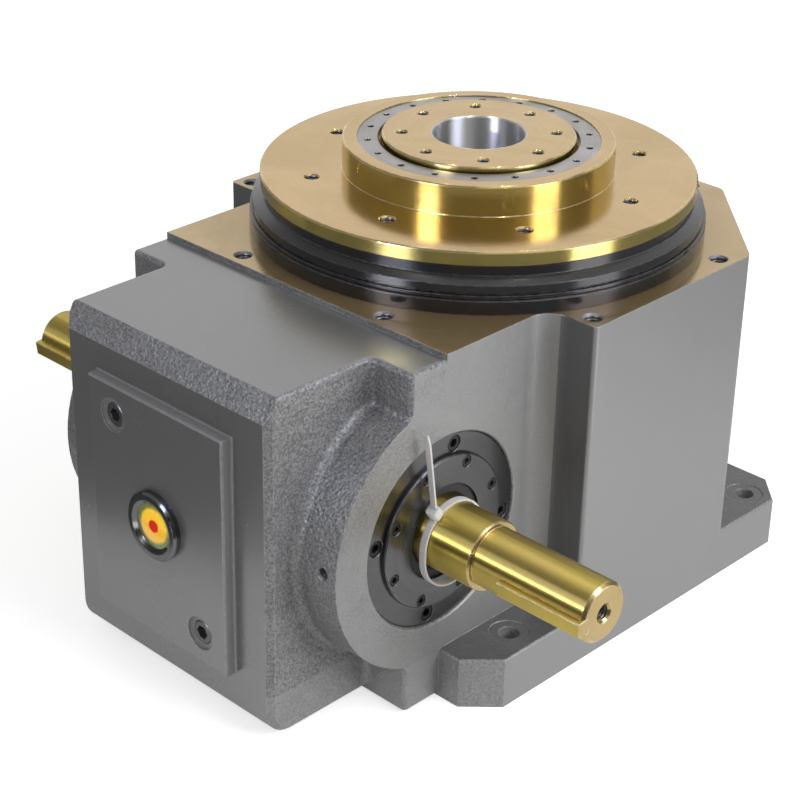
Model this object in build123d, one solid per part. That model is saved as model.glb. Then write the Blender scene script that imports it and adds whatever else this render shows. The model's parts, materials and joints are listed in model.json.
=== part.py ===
"""Cam indexing gearbox: a keyed input shaft turns a globoidal cam, whose rib drives the roller
followers of an output rotor.  The output flange turns about +Z round a fixed hollow column.

Frame: origin on the output axis at the mounting face, +Z up, +X along the input shaft towards its
front end, and the input shaft in front of the output axis, at -Y.  All sizes are in millimetres.
"""
import os
from math import atan2, ceil, cos, degrees, hypot, radians, sin, sqrt, tan

from build123d import *

os.makedirs("parts", exist_ok=True)

# Running and mounting clearances
running_gap = 0.03          # radial gap of a shaft or rolling element in its race
seat_gap = 0.02             # radial gap of a ring or plug in its seat
free_gap = 1.7              # room round pieces that turn inside the casting
axial_gap = 0.6             # between faces that turn past each other
screw_gap = 0.25            # radial gap of a screw shank in a plain hole
head_gap = 0.4              # radial gap of a screw head in its counterbore

# Mechanism
centre_distance = 160.0     # output axis to input axis
axis_height = 120.0         # input axis above the mounting face
follower_count = 8
roller_radius = 18.0
roller_width = 22.0
roller_bore = 12.0
roller_edge = 1.2
roller_inner_end = 83.0     # distance of a roller's inner face from the output axis
flank_gap = 0.35            # between a roller and the cam's rib
cam_length = 120.0
cam_outer_radius = 91.0
rib_step = 20.0             # turn of the cam from one rib section to the next, degrees
rib_tip_gap = 2.5           # between the rib's tip and the rotor drum
shaft_core_radius = 28.0

# Input shaft
shaft_end_radius = 19.0
shaft_seal_radius = 22.5
shaft_bearing_radius = 25.0
shaft_neck = 40.5           # length of the seal journal outside the boss face
shaft_end_length = 83.0
shaft_chamfer = 2.0
step_chamfer = 0.8
key_width = 10.0
key_rise = 3.2              # height of a key above its shaft
key_depth = 5.0             # depth of its keyway
key_length = 61.0
key_chamfer = 0.6
key_angle = 187.0           # direction of the keys, from +Y towards +Z
centre_hole_radius = 4.25
centre_hole_depth = 26.0
centre_hole_sink = 2.2
cam_key_width = 16.0
cam_key_height = 10.0
cam_key_length = 72.0

# Input bearings, cartridges and covers
cup_radius = 45.0
cup_inset = 19.0            # outer race's face below the boss face
cup_setback = 3.0           # outer race's inner end outboard of the inner race's back face
input_bearing_width = 22.0
cone_short = 2.0            # inner race's outer end inboard of the outer race's face
cone_lip = 2.4              # thickness of the inner race's lip
cone_lip_rise = 3.5
roller_tilt = 13.6          # tilt of the tapered rollers' axes, degrees
roller_half_angle = 2.0
taper_pitch_shift = 0.5     # rollers' pitch outside the middle of the bearing
taper_roller_length = 13.0
taper_roller_count = 14
sleeve_wall = 5.0
sleeve_reach = 5.0          # cartridge sleeve past the inner race's back face
cartridge_rim = 13.5        # cartridge flange outside its sleeve
cartridge_flange = 12.0
cartridge_sink = 2.0        # cartridge face below the boss face
cartridge_lip = 7.0         # inward shoulder that holds the outer race
cartridge_screw_count = 4
cartridge_screw_turn = 80.0
cartridge_edge = 0.8
boss_edge = 1.0             # bevel of the bore in the boss face
cartridge_screw_sink = 6.6  # seat of the screw heads below the cartridge's face
cartridge_tap_depth = 14.0
cartridge_screw_inset = 7.5 # cartridge screws from the rim
cover_sink = 5.0            # depth of the cover's pocket in the cartridge
cover_rise = 3.0            # cover's face in front of the cartridge's
cover_spigot = 9.0
cover_screw_count = 8
cover_screw_turn = 21.0
cover_screw_inset = 5.0     # cover screws from the cover's edge
cover_screw_sink = 3.6      # seat of the screw heads below the cover's face
cover_tap_depth = 8.0
seal_wall = 8.5             # radial height of a shaft seal
seal_width = 8.0
seal_sink = 2.0             # seal face below the cover face

# Casting
block_width = 322.0
block_back = 161.0          # back face behind the output axis
platform_front = 161.0      # front of the machined platform, before the output axis
platform_rise = 118.0       # platform above the input axis
wing_round = 3.0            # outer corners of the cast sides
body_width = 248.0          # width across the two boss faces
wing_front = 72.0           # front of the wide part, before the output axis
wing_fillet = 16.0
corner_cut = 80.0           # back corners of the platform
corner_round = 9.0
shoulder_front = 30.0       # shoulder before the input axis
case_width = 182.0
case_front = 111.0          # case front before the input axis
case_drop = 3.5             # case top below the platform
case_bevel_depth = 8.0
case_bevel_height = 16.0
case_toe_radius = 20.0
case_edge = 4.0
case_wall = 13.0
case_round = 3.0            # edges of the case top along its sides
case_root = 5.0             # hollow corner between the case and the shoulder
boss_root = 5.0             # hollow corner between the bosses and the case
body_lift = 3.0             # casting's underside above the mounting face
foot_strip = 49.0           # width of the machined foot along each side
boss_radius = 90.0
floor_height = 30.0
cam_room = 3.0              # round the cam
pad_width = 121.0
pad_height = 161.0
pad_rise = 8.0
pad_edge = 1.0
pad_root = 1.5
foot_height = 35.0
foot_front = 1.0            # foot plate behind the platform's front
foot_corner = 20.0
foot_round = 2.0
foot_hole_radius = 6.75
foot_hole_side = 19.0       # foot holes from the side faces
foot_hole_front = 46.0      # front foot holes behind the platform's front
foot_hole_back = 28.0       # back foot holes before the back face
foot_face_radius = 13.0
foot_face_depth = 0.5
platform_hole_edge = 10.87  # platform holes from the side and back faces
platform_hole_count = 8
platform_hole_radius = 5.1
platform_hole_depth = 24.0
flank_hole_radius = 3.4     # tapped hole in the boss flank
flank_hole_depth = 14.0
flank_hole_edge = 11.0      # from the boss face
flank_hole_rise = 4.0       # above the input axis
countersink = 1.2

# Output bearing, retainer and seals
seat_shoulder = 2.0         # bearing seat outside the rotor chamber
cross_roller_size = 12.0
cross_roller_count = 24
cross_race_wall = 5.5       # race thickness behind the bottom of its groove
cross_split = 1.0           # half of the gap between the races
cross_bearing_height = 30.0
bearing_sink = 2.0          # bearing top below the platform
retainer_height = 9.5
retainer_overhang = 7.0     # retainer outside the flange
retainer_spigot = 9.5
retainer_screw_count = 12
retainer_screw_turn = 15.0
retainer_screw_inset = 6.5  # retainer screws outside the bearing
retainer_screw_sink = 5.4   # seat of their heads below the retainer's top
retainer_screw_length = 20.0
retainer_tap_depth = 18.0
output_seal_wall = 9.0
output_seal_width = 8.6
ring_edge = 0.8             # edge chamfers of the black rings
seal_ring_wall = 13.0
seal_ring_lip = 2.3         # height of the dust ring's lowest step
seal_ring_groove = 2.2      # depth of the groove over that step
seal_ring_step = 1.4        # face over the groove, inside the step
seal_ring_face = 8.2        # height of that face's upper edge
seal_ring_slope = 11.5      # height where the dust ring reaches its narrow top
seal_ring_inset = 1.4       # its top inside the flange

# Output flange, hub and cover ring
flange_radius = 142.0
flange_lift = 18.5          # flange above the retainer
flange_thickness = 10.0
flange_hole_inset = 32.0    # tapped holes from the flange's edge
flange_hole_count = 8
flange_hole_turn = 12.0     # first flange hole, degrees from +X
flange_hole_radius = 4.25
flange_edge = 1.0
hub_radius = 88.5
hub_rise = 20.0
hub_rim = 9.5               # rim outside the cover ring
ring_thickness = 5.0
ring_drop = 0.8             # ring face below the hub rim
ring_gap = 1.2              # ring's bore outside the pocket of the column's disc
ring_screw_count = 18
ring_screw_turn = 10.0
ring_screw_radius = 2.0
ring_screw_depth = 2.5
ring_screw_sink = 1.2
rotor_screw_count = 9
rotor_screw_turn = 20.0     # between the small screws of the ring
rotor_screw_depth = 18.0
rotor_screw_sink = 4.0      # heads below the cover ring

# Column
column_bore = 30.0
column_wall = 6.0
column_shoulder = 5.0
column_disc_radius = 63.0
column_disc_height = 15.0
disc_rise = 2.6             # disc above the hub rim
disc_edge = 1.0
disc_groove = 1.3           # gap between the disc and the turning hub
column_hole_inset = 13.0
column_hole_count = 8
column_hole_radius = 3.4
column_nut_wall = 11.0
column_nut_height = 8.0
nut_slot = 7.0
hub_seal_wall = 8.0
hub_seal_height = 8.0

# Rotor
drum_gap = 1.0              # drum inside the rollers' inner faces
drum_height = 58.0
rotor_bore_gap = 7.0        # rotor bore outside the column
rotor_plate = 14.0
journal_wall = 11.0
stud_radius = 8.0
stud_depth = 30.0           # of the stud in the drum
stud_collar_radius = 14.0
stud_collar = 2.7
washer_radius = 15.0
washer_thickness = 2.0

# Lower bearing and base cover
lower_race_wall = 8.0
lower_roller_radius = 4.0
lower_roller_count = 20
lower_bearing_height = 20.0
lower_roller_short = 2.0    # rollers inside the races at each end
cover_plug_wall = 16.0
cover_disc_rim = 16.0
cover_disc_thickness = 12.0
cover_disc_lift = 4.0
cover_plug_rise = 4.0       # base cover's plug above the casting's floor
race_relief = 2.0
base_screw_count = 8
base_screw_turn = 22.5
base_screw_sink = 7.0
base_screw_hold = 11.0      # length of the screws in the casting
base_tap_depth = 12.0

# Plugs and sight glass
plug_x = 37.5               # filler and drain plugs beside the pad's middle line
plug_z = 60.0               # above and below the input axis
plug_radius = 8.0
plug_face_radius = 11.0
plug_sink = 2.0
plug_length = 12.0
plug_hex = 8.0
plug_socket = 6.0
plug_edge = 0.8
glass_radius = 22.5
glass_rise = 5.0
glass_edge = 1.5
glass_thread_radius = 16.0
glass_thread_length = 12.0
glass_window_radius = 14.5
glass_window_flare = 3.0
glass_thickness = 5.0
glass_crown = 2.5
reflector_thickness = 2.5

# Cable tie
tie_width = 4.6
tie_thickness = 1.4
tie_slack = 1.5             # loop's inner radius past the shaft
tie_stretch = 6.0           # how far the loop hangs down out of round
tie_head_width = 7.4
tie_head_height = 6.0
tie_tail = 55.0             # from the middle of the head to the tip
tie_tip = 6.0
tie_turn = 35.5             # head of the tie, from +Z towards -Y
tie_tail_turn = 27.0        # the tail leans back towards +Z by this much
tie_inset = 33.5            # tie inboard of the shaft's step

# Screws: shank radius, head radius and head height
m4 = (2.0, 3.5, 3.4)
m5 = (2.5, 4.25, 5.0)
m6 = (3.0, 5.0, 6.0)
m8 = (4.0, 6.4, 8.0)

# Sizes that follow
LOW = Align.MIN
STAND = (Align.CENTER, Align.CENTER, Align.MIN)
AT_INPUT = Pos(0, -centre_distance, axis_height)
platform_height = axis_height + platform_rise
case_top = platform_height - case_drop
shoulder_y = -centre_distance - shoulder_front
case_y = -centre_distance - case_front
pad_y = case_y - pad_rise
boss_face = body_width / 2
cup_face = boss_face - cup_inset
taper_pitch_radius = (cup_radius + shaft_bearing_radius) / 2 + taper_pitch_shift
cone_face = cup_face - input_bearing_width
cartridge_face = boss_face - cartridge_sink
cartridge_seat = cartridge_face - cartridge_flange
cartridge_end = cone_face - sleeve_reach
sleeve_radius = cup_radius + sleeve_wall
cartridge_radius = sleeve_radius + cartridge_rim
cartridge_lip_radius = cup_radius - cartridge_lip
cover_pocket = cartridge_face - cover_sink
cover_face = cartridge_face + cover_rise
cartridge_screw_pitch = cartridge_radius - cartridge_screw_inset
cover_radius = cartridge_screw_pitch - m6[1] - head_gap - axial_gap
cover_screw_pitch = cover_radius - cover_screw_inset
seal_outer = shaft_seal_radius + seal_wall
seal_face = cover_face - seal_sink
seal_back = seal_face - seal_width
shaft_step = boss_face + shaft_neck
shaft_reach = shaft_step + shaft_end_length
journal_end = cup_face + 3.0
roller_outer_end = roller_inner_end + roller_width
drum_radius = roller_inner_end - drum_gap
stud_end = roller_outer_end + axial_gap / 2
washer_end = stud_end + washer_thickness
chamber_radius = washer_end + free_gap
cam_root = washer_end + free_gap
rib_tip = drum_radius + rib_tip_gap
cam_room_radius = cam_outer_radius + cam_room
pad_hole_depth = case_front + pad_rise - sqrt(cam_room_radius ** 2 - plug_z ** 2)
cross_apex = cross_roller_size / sqrt(2)
cross_outer_radius = chamber_radius + seat_shoulder
cross_pitch_radius = cross_outer_radius - cross_race_wall - cross_apex
cross_inner_radius = cross_pitch_radius - cross_apex - cross_race_wall
neck_radius = cross_pitch_radius - cross_split
cross_bearing_top = platform_height - bearing_sink
cross_bearing_bottom = cross_bearing_top - cross_bearing_height
cross_middle = cross_bearing_top - cross_bearing_height / 2
retainer_top = platform_height + retainer_height
retainer_radius = flange_radius + retainer_overhang
retainer_screw_pitch = cross_outer_radius + retainer_screw_inset
flange_bottom = retainer_top + flange_lift
flange_top = flange_bottom + flange_thickness
flange_hole_pitch = flange_radius - flange_hole_inset
hub_top = flange_top + hub_rise
column_radius = column_bore + column_wall
column_top = hub_top + disc_rise
column_disc_bottom = column_top - column_disc_height
column_hole_pitch = column_disc_radius - column_hole_inset
column_nut_radius = column_radius + column_nut_wall
hub_seal_outer = column_radius + hub_seal_wall
disc_pocket_radius = column_disc_radius + disc_groove
ring_top = hub_top - ring_drop
ring_bottom = ring_top - ring_thickness
ring_outer_radius = hub_radius - hub_rim
ring_inner_radius = disc_pocket_radius + ring_gap
ring_screw_pitch = (ring_outer_radius + ring_inner_radius) / 2
rotor_screw_pitch = (ring_outer_radius + disc_pocket_radius) / 2
rotor_screw_seat = ring_bottom - m8[2] - rotor_screw_sink
rotor_bore = column_radius + rotor_bore_gap
lower_race_inner = rotor_bore + journal_wall
lower_race_outer = lower_race_inner + lower_race_wall
lower_pitch_radius = lower_race_outer + lower_roller_radius
lower_track = lower_pitch_radius + lower_roller_radius
lower_cup_radius = lower_track + lower_race_wall
cover_plug_radius = lower_cup_radius + cover_plug_wall
cover_disc_radius = cover_plug_radius + cover_disc_rim
cover_disc_top = cover_disc_lift + cover_disc_thickness
base_screw_pitch = (cover_plug_radius + cover_disc_radius) / 2
cover_plug_top = floor_height + cover_plug_rise
lower_bearing_bottom = cover_plug_top + race_relief
lower_bearing_top = lower_bearing_bottom + lower_bearing_height
pieces = {}


def ring(outer, inner, low, high):
    """A plain ring about +Z, or a disc where inner is 0."""
    body = Pos(0, 0, low) * Cylinder(outer, high - low, align=STAND)
    if inner > 0:
        body -= Pos(0, 0, low) * Cylinder(inner, high - low, align=STAND)
    return body


def turned(outline):
    """A solid turned about +Z from (radius, height) points."""
    corners = [(radius, 0, height) for radius, height in outline]
    return revolve(make_face(Polyline(*corners, close=True)), Axis.Z)


def turned_x(outline):
    """A solid turned about +X from (place along X, radius) points."""
    corners = [(place, 0, radius) for place, radius in outline]
    return revolve(make_face(Polyline(*corners, close=True)), Axis.X)


def rod_x(radius, low, high):
    """A round bar about +X."""
    return Pos(low, 0, 0) * Rot(0, 90, 0) * Cylinder(radius, high - low, align=STAND)


def round_z(shape, count, first=0.0):
    """Copies of a shape, spread evenly about +Z."""
    return [Rot(0, 0, first + turn * 360 / count) * shape for turn in range(count)]


def round_x(shape, count, first=0.0):
    """Copies of a shape, spread evenly about +X, where first counts from +Y towards +Z."""
    return [Rot(first + turn * 360 / count, 0, 0) * shape for turn in range(count)]


def facing_x(place, radius):
    """Local +Z points along +X, from a place on the shaft's axis and a radius towards +Y."""
    return Pos(place, radius, 0) * Rot(0, 90, 0)


def drilled(body, holes):
    """A body with every shape of a list cut from it."""
    for hole in holes:
        body -= hole
    return body


def bar(radius, length):
    """A round bar that stands on z = 0."""
    return Cylinder(radius, length, align=STAND)


def tapped(radius, depth, sink=countersink):
    """A blind tapped hole that opens upwards at z = 0, with its countersink."""
    hole = Pos(0, 0, -depth) * bar(radius, depth)
    return hole + Pos(0, 0, -sink) * Cone(radius, radius + sink, sink, align=STAND)


def cap_screw(size, length, socket=True):
    """A socket-head screw that points down, with the underside of its head at z = 0."""
    shank, head, height = size
    body = Pos(0, 0, -length) * bar(shank, length) + bar(head, height)
    if socket:
        hexagon = extrude(RegularPolygon(shank, 6), height * 0.6)
        body -= Pos(0, 0, height * 0.4) * hexagon
    return body


def screw_holes(size, depth):
    """Counterbore and clearance hole of a cap screw, with the screw's seat at z = 0."""
    shank, head, height = size
    return Pos(0, 0, -depth) * bar(shank + screw_gap, depth) + bar(head + head_gap, height + 4.0)


def grouped(shapes):
    """Separate solids of one kind in one node."""
    return Compound([part for shape in shapes for part in shape.solids()])


def mirrored(shape):
    """The same piece on the rear side of the casting."""
    return mirror(shape, about=Plane.YZ)


# Casting
def platform_plan():
    """Outline of the platform, seen from above."""
    half = block_width / 2
    narrow = body_width / 2
    right = [(narrow, -platform_front), (narrow, -wing_front), (half, -wing_front),
             (half, block_back - corner_cut), (half - corner_cut, block_back)]
    left = [(-x, y) for x, y in reversed(right)]
    return make_face(Polyline(*[(x, y, 0) for x, y in right + left], close=True))


def upright_edges(body, test):
    """The vertical edges of a body whose middle passes a test of x and y."""
    return [edge for edge in body.edges().filter_by(Axis.Z)
            if test(edge.center().X, edge.center().Y)]


def platform_block():
    """The main block under the platform, with its wings and cut back corners."""
    block = Pos(0, 0, body_lift) * extrude(platform_plan(), platform_height - body_lift)
    narrow = body_width / 2
    inner = upright_edges(
        block, lambda x, y: abs(abs(x) - narrow) < 0.1 and abs(y + wing_front) < 0.1)
    block = fillet(inner, wing_fillet)
    return fillet(upright_edges(block, lambda x, y: y > 0), corner_round)


def shoulder_block():
    """The part of the casting round the input axis that joins the block to the case."""
    depth = -platform_front + 1.0 - shoulder_y
    return Pos(0, shoulder_y, body_lift) * Box(
        body_width, depth, case_top - body_lift, align=(Align.CENTER, LOW, LOW))


def case_block():
    """The cam case in front, with its bevel, rounded toe and bevelled sides."""
    case = Pos(0, case_y, body_lift) * Box(
        case_width, case_front, case_top - body_lift, align=(Align.CENTER, LOW, LOW))
    across = case.edges().filter_by(Axis.X)
    case = chamfer(across.sort_by(lambda e: e.center().Y - e.center().Z)[0],
                   case_bevel_height, case_bevel_depth)
    across = case.edges().filter_by(Axis.X)
    case = fillet(across.sort_by(lambda e: e.center().Y + e.center().Z)[0], case_toe_radius)
    return chamfer(upright_edges(case, lambda x, y: y < case_y + 1.0), case_edge)


def front_pad():
    """The raised and machined pad that carries the plugs and the sight glass."""
    pad = Pos(0, pad_y, axis_height) * Box(
        pad_width, pad_rise + 1.0, pad_height, align=(Align.CENTER, LOW, Align.CENTER))
    return chamfer(pad.faces().sort_by(Axis.Y)[0].edges(), pad_edge)


def foot_plate():
    """The flat feet, one plate round the bottom of the casting."""
    front = platform_front - foot_front
    plate = Pos(0, -front, 0) * Box(
        block_width, block_back + front, foot_height, align=(Align.CENTER, LOW, LOW))
    plate = chamfer(plate.edges().filter_by(Axis.Z), foot_corner)
    return fillet(plate.faces().sort_by(Axis.Z)[-1].edges(), foot_round)


def rough_body():
    """The block, the shoulder, the case and the bosses in one, with their cast corners rounded."""
    body = platform_block() + shoulder_block() + case_block()
    body += AT_INPUT * rod_x(boss_radius, -boss_face, boss_face)
    half = case_width / 2
    corners = [(half, shoulder_y, case_root), (boss_face, shoulder_y, wing_round),
               (block_width / 2, -wing_front, wing_round)]
    for across, along, radius in corners:
        edges = upright_edges(body, lambda x, y: hypot(abs(x) - across, y - along) < 0.6)
        body = fillet(edges, radius)
    roots = [edge for edge in body.edges().filter_by(GeomType.CIRCLE)
             if abs(edge.radius - boss_radius) < 0.1
             and abs(abs(edge.center().X) - half) < case_root + 1.0]
    body = fillet(roots, boss_root)
    sides = [edge for edge in body.edges().filter_by(Axis.Y)
             if hypot(abs(edge.center().X) - half, edge.center().Z - case_top) < 0.6]
    return fillet(sides, case_round)


def padded(body):
    """The body with the pad on its front, and a small hollow corner round the pad."""
    body += front_pad()
    roots = [edge for edge in body.edges()
             if abs(edge.center().Y - case_y) < 0.3
             and abs(edge.center().X) < pad_width / 2 + 0.3
             and abs(edge.center().Z - axis_height) < pad_height / 2 + 0.3]
    return fillet(roots, pad_root)


def underside_cut():
    """The room between the feet, so that only the feet and the rim of the cover touch the ground."""
    depth = 2 * max(platform_front, block_back) + 2.0
    slot = Box(block_width - 2 * foot_strip, depth, body_lift, align=STAND)
    return slot - ring(cover_disc_radius + foot_face_radius, 0, 0, body_lift)


def foot_places():
    """Centres of the foot holes."""
    x = block_width / 2 - foot_hole_side
    rows = (foot_hole_front - platform_front, block_back - foot_hole_back)
    return [(side * x, y) for side in (-1, 1) for y in rows]


def platform_hole_pitch():
    """Radius of the platform's ring of tapped holes, at its distance from the side faces."""
    return (block_width / 2 - platform_hole_edge) / cos(radians(180 / platform_hole_count))


def foot_and_platform_holes():
    """The plain holes of the feet and the tapped holes of the platform."""
    holes = []
    for x, y in foot_places():
        holes.append(Pos(x, y, 0) * bar(foot_hole_radius, foot_height))
        holes.append(Pos(x, y, foot_height - foot_face_depth) * bar(foot_face_radius, 6.0))
    top = Pos(platform_hole_pitch(), 0, platform_height) * tapped(
        platform_hole_radius, platform_hole_depth)
    return holes + round_z(top, platform_hole_count, 180 / platform_hole_count)


def screw_taps():
    """Tapped holes for the screws of the retainer, the base cover and the cartridges."""
    down = Pos(retainer_screw_pitch, 0, platform_height - retainer_tap_depth) * bar(
        m5[0], retainer_tap_depth)
    holes = round_z(down, retainer_screw_count, retainer_screw_turn)
    up = Pos(base_screw_pitch, 0, cover_disc_top) * bar(m8[0], base_tap_depth)
    holes += round_z(up, base_screw_count, base_screw_turn)
    into = facing_x(cartridge_seat - cartridge_tap_depth, cartridge_screw_pitch) * bar(
        m6[0], cartridge_tap_depth)
    for hole in round_x(into, cartridge_screw_count, cartridge_screw_turn):
        holes += [AT_INPUT * hole, AT_INPUT * mirrored(hole)]
    return holes


def front_and_flank_holes():
    """Holes for the plugs and the sight glass, and the tapped hole in the boss flank."""
    holes = []
    for side in (-1, 1):
        place = Pos(side * plug_x, pad_y, axis_height - side * plug_z) * Rot(90, 0, 0)
        holes.append(place * Pos(0, 0, -pad_hole_depth) * bar(plug_radius, pad_hole_depth))
        holes.append(place * Pos(0, 0, -plug_sink) * bar(plug_face_radius, 9.0))
    glass = Pos(0, pad_y, axis_height) * Rot(90, 0, 0) * Pos(0, 0, -pad_hole_depth)
    holes.append(glass * bar(glass_thread_radius + seat_gap, pad_hole_depth))
    flank = AT_INPUT * Pos(boss_face - flank_hole_edge, 0, flank_hole_rise) * Rot(90, 0, 0)
    holes.append(flank * Pos(0, 0, boss_radius) * tapped(flank_hole_radius, flank_hole_depth))
    return holes


def housing():
    """The whole casting, with its chambers, bores and holes."""
    body = padded(rough_body())
    body += foot_plate()
    body -= underside_cut()
    body -= ring(chamber_radius, 0, floor_height, platform_height)
    body -= ring(cross_outer_radius + seat_gap, 0, cross_bearing_bottom, platform_height)
    room = case_width / 2 - case_wall
    body -= AT_INPUT * rod_x(cam_room_radius, -room, room)
    body -= AT_INPUT * rod_x(sleeve_radius + seat_gap, -boss_face, boss_face)
    bore = cartridge_radius + seat_gap
    recess = turned_x([
        (cartridge_seat, 0), (cartridge_seat, bore), (boss_face - boss_edge, bore),
        (boss_face, bore + boss_edge), (boss_face, 0)])
    body -= AT_INPUT * recess
    body -= AT_INPUT * mirrored(recess)
    body -= ring(cover_disc_radius + seat_gap, 0, 0, cover_disc_top)
    body -= ring(cover_plug_radius + seat_gap, 0, 0, floor_height)
    return drilled(body, foot_and_platform_holes() + screw_taps() + front_and_flank_holes())


# Output rotor
def follower_place(turn):
    """Place of one follower: local +Z points outwards along its axis."""
    return Rot(0, 0, turn * 360 / follower_count - 90) * Pos(0, 0, axis_height) * Rot(0, 90, 0)


def rotor():
    """The rotor drum that carries the followers, with its lower journal and upper plate."""
    low = axis_height - drum_height / 2
    high = axis_height + drum_height / 2
    plate = neck_radius - 4.0
    collar = roller_inner_end - axial_gap / 2 - stud_collar
    body = turned([
        (rotor_bore, lower_bearing_bottom), (lower_race_inner, lower_bearing_bottom),
        (lower_race_inner, lower_bearing_top), (lower_race_outer - 2.0, lower_bearing_top),
        (lower_race_outer - 2.0, lower_bearing_top + 8.0), (drum_radius - 3.0, low),
        (drum_radius, low + 3.0), (drum_radius, high), (plate, cross_bearing_bottom - rotor_plate),
        (plate, cross_bearing_bottom), (rotor_bore, cross_bearing_bottom)])
    for turn in range(follower_count):
        place = follower_place(turn)
        body -= place * Pos(0, 0, drum_radius - stud_depth) * bar(stud_radius, stud_depth)
        body -= place * Pos(0, 0, collar) * bar(stud_collar_radius + screw_gap, 9.0)
    tap = Pos(rotor_screw_pitch, 0, cross_bearing_bottom - rotor_screw_depth - 2.0)
    tap *= bar(m8[0], rotor_screw_depth + 2.0)
    return drilled(body, round_z(tap, rotor_screw_count, rotor_screw_turn))


def follower_stud():
    """One follower stud: a shank in the drum, a collar and the journal of the roller."""
    collar = roller_inner_end - axial_gap / 2
    journal = roller_bore - running_gap
    return turned([
        (0, drum_radius - stud_depth), (stud_radius, drum_radius - stud_depth),
        (stud_radius, collar - stud_collar), (stud_collar_radius, collar - stud_collar),
        (stud_collar_radius, collar), (journal, collar), (journal, stud_end), (0, stud_end)])


def follower_roller():
    """One follower roller, with its bevelled edges."""
    return turned([
        (roller_bore, roller_inner_end), (roller_radius - roller_edge, roller_inner_end),
        (roller_radius, roller_inner_end + roller_edge),
        (roller_radius, roller_outer_end - roller_edge),
        (roller_radius - roller_edge, roller_outer_end), (roller_bore, roller_outer_end)])


def output_flange():
    """The output flange with its raised hub, sealing neck and bearing spigot."""
    spigot = cross_inner_radius - seat_gap
    pocket = column_disc_bottom - axial_gap
    body = turned([
        (hub_seal_outer, cross_bearing_bottom), (spigot, cross_bearing_bottom),
        (spigot, cross_bearing_top), (neck_radius, cross_bearing_top),
        (neck_radius, flange_bottom), (flange_radius - flange_edge, flange_bottom),
        (flange_radius, flange_bottom + flange_edge), (flange_radius, flange_top - flange_edge),
        (flange_radius - flange_edge, flange_top), (hub_radius, flange_top),
        (hub_radius, hub_top - flange_edge), (hub_radius - flange_edge, hub_top),
        (ring_outer_radius + seat_gap, hub_top), (ring_outer_radius + seat_gap, ring_bottom),
        (disc_pocket_radius, ring_bottom), (disc_pocket_radius, pocket),
        (hub_seal_outer, pocket)])
    tap = Pos(flange_hole_pitch, 0, flange_top) * tapped(flange_hole_radius, flange_thickness + 1.0)
    holes = round_z(tap, flange_hole_count, flange_hole_turn)
    screw = Pos(rotor_screw_pitch, 0, rotor_screw_seat) * screw_holes(
        m8, rotor_screw_seat - cross_bearing_bottom)
    holes += round_z(screw, rotor_screw_count, rotor_screw_turn)
    small = Pos(ring_screw_pitch, 0, ring_bottom - ring_screw_depth) * bar(
        ring_screw_radius, ring_screw_depth)
    return drilled(body, holes + round_z(small, ring_screw_count, ring_screw_turn))


def hub_cover_ring():
    """The cover ring let into the hub, over the rotor screws."""
    body = ring(ring_outer_radius, ring_inner_radius, ring_bottom, ring_top)
    hole = Pos(ring_screw_pitch, 0, ring_bottom) * bar(ring_screw_radius + screw_gap, ring_thickness)
    return drilled(body, round_z(hole, ring_screw_count, ring_screw_turn))


def ring_screw():
    """One small sunk set screw of the cover ring."""
    length = ring_screw_depth + ring_thickness - ring_screw_sink
    socket = Pos(0, 0, length - 1.5) * extrude(RegularPolygon(ring_screw_radius * 0.6, 6), 1.5)
    return Pos(ring_screw_pitch, 0, ring_bottom - ring_screw_depth) * (
        bar(ring_screw_radius, length) - socket)


def seal_ring():
    """The dust ring under the flange: a step over the retainer, a groove, a face and a slope."""
    low = retainer_top + axial_gap
    step = retainer_radius - screw_gap
    face = step - seal_ring_step
    top = flange_radius - seal_ring_inset
    inner = flange_radius - seal_ring_wall
    groove = step - seal_ring_groove
    return turned([
        (inner, low), (step - ring_edge / 2, low), (step, low + ring_edge / 2),
        (step, low + seal_ring_lip), (groove, low + seal_ring_lip + 0.2),
        (groove, low + seal_ring_lip + 0.8), (face, low + seal_ring_lip + 1.0),
        (face - 0.4, low + seal_ring_face), (top + 0.6, low + seal_ring_slope),
        (top, low + seal_ring_slope + 0.4), (top, flange_bottom), (inner, flange_bottom)])


def bearing_retainer():
    """The fixed ring that clamps the outer race and runs under the dust ring."""
    spigot = cross_outer_radius - 0.5
    inner = neck_radius + output_seal_wall
    clamp = cross_outer_radius - retainer_spigot
    body = turned([
        (inner, platform_height), (clamp, platform_height), (clamp, cross_bearing_top),
        (spigot, cross_bearing_top), (spigot, platform_height), (retainer_radius, platform_height),
        (retainer_radius, retainer_top - ring_edge), (retainer_radius - ring_edge, retainer_top),
        (inner, retainer_top)])
    screw = Pos(retainer_screw_pitch, 0, retainer_top - retainer_screw_sink)
    holes = screw * screw_holes(m5, retainer_height)
    return drilled(body, round_z(holes, retainer_screw_count, retainer_screw_turn))


def output_seal():
    """The lip seal between the retainer and the neck of the flange."""
    outer = neck_radius + output_seal_wall
    lip = neck_radius + running_gap
    back = neck_radius + 3.0
    low = platform_height + 0.4
    return turned([
        (lip, low + 3.0), (neck_radius + 2.2, low), (outer, low), (outer, low + output_seal_width),
        (back, low + output_seal_width), (back, low + 5.0), (lip, low + 5.0)])


# Output bearing
def cross_race(inner):
    """One race of the crossed roller bearing, with its right-angled groove."""
    side = -1 if inner else 1
    split = cross_pitch_radius + side * cross_split
    back = cross_inner_radius if inner else cross_outer_radius
    apex = cross_pitch_radius + side * cross_apex
    half = cross_apex - cross_split
    return turned([
        (back, cross_bearing_bottom), (split, cross_bearing_bottom),
        (split, cross_middle - half), (apex, cross_middle), (split, cross_middle + half),
        (split, cross_bearing_top), (back, cross_bearing_top)])


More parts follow.
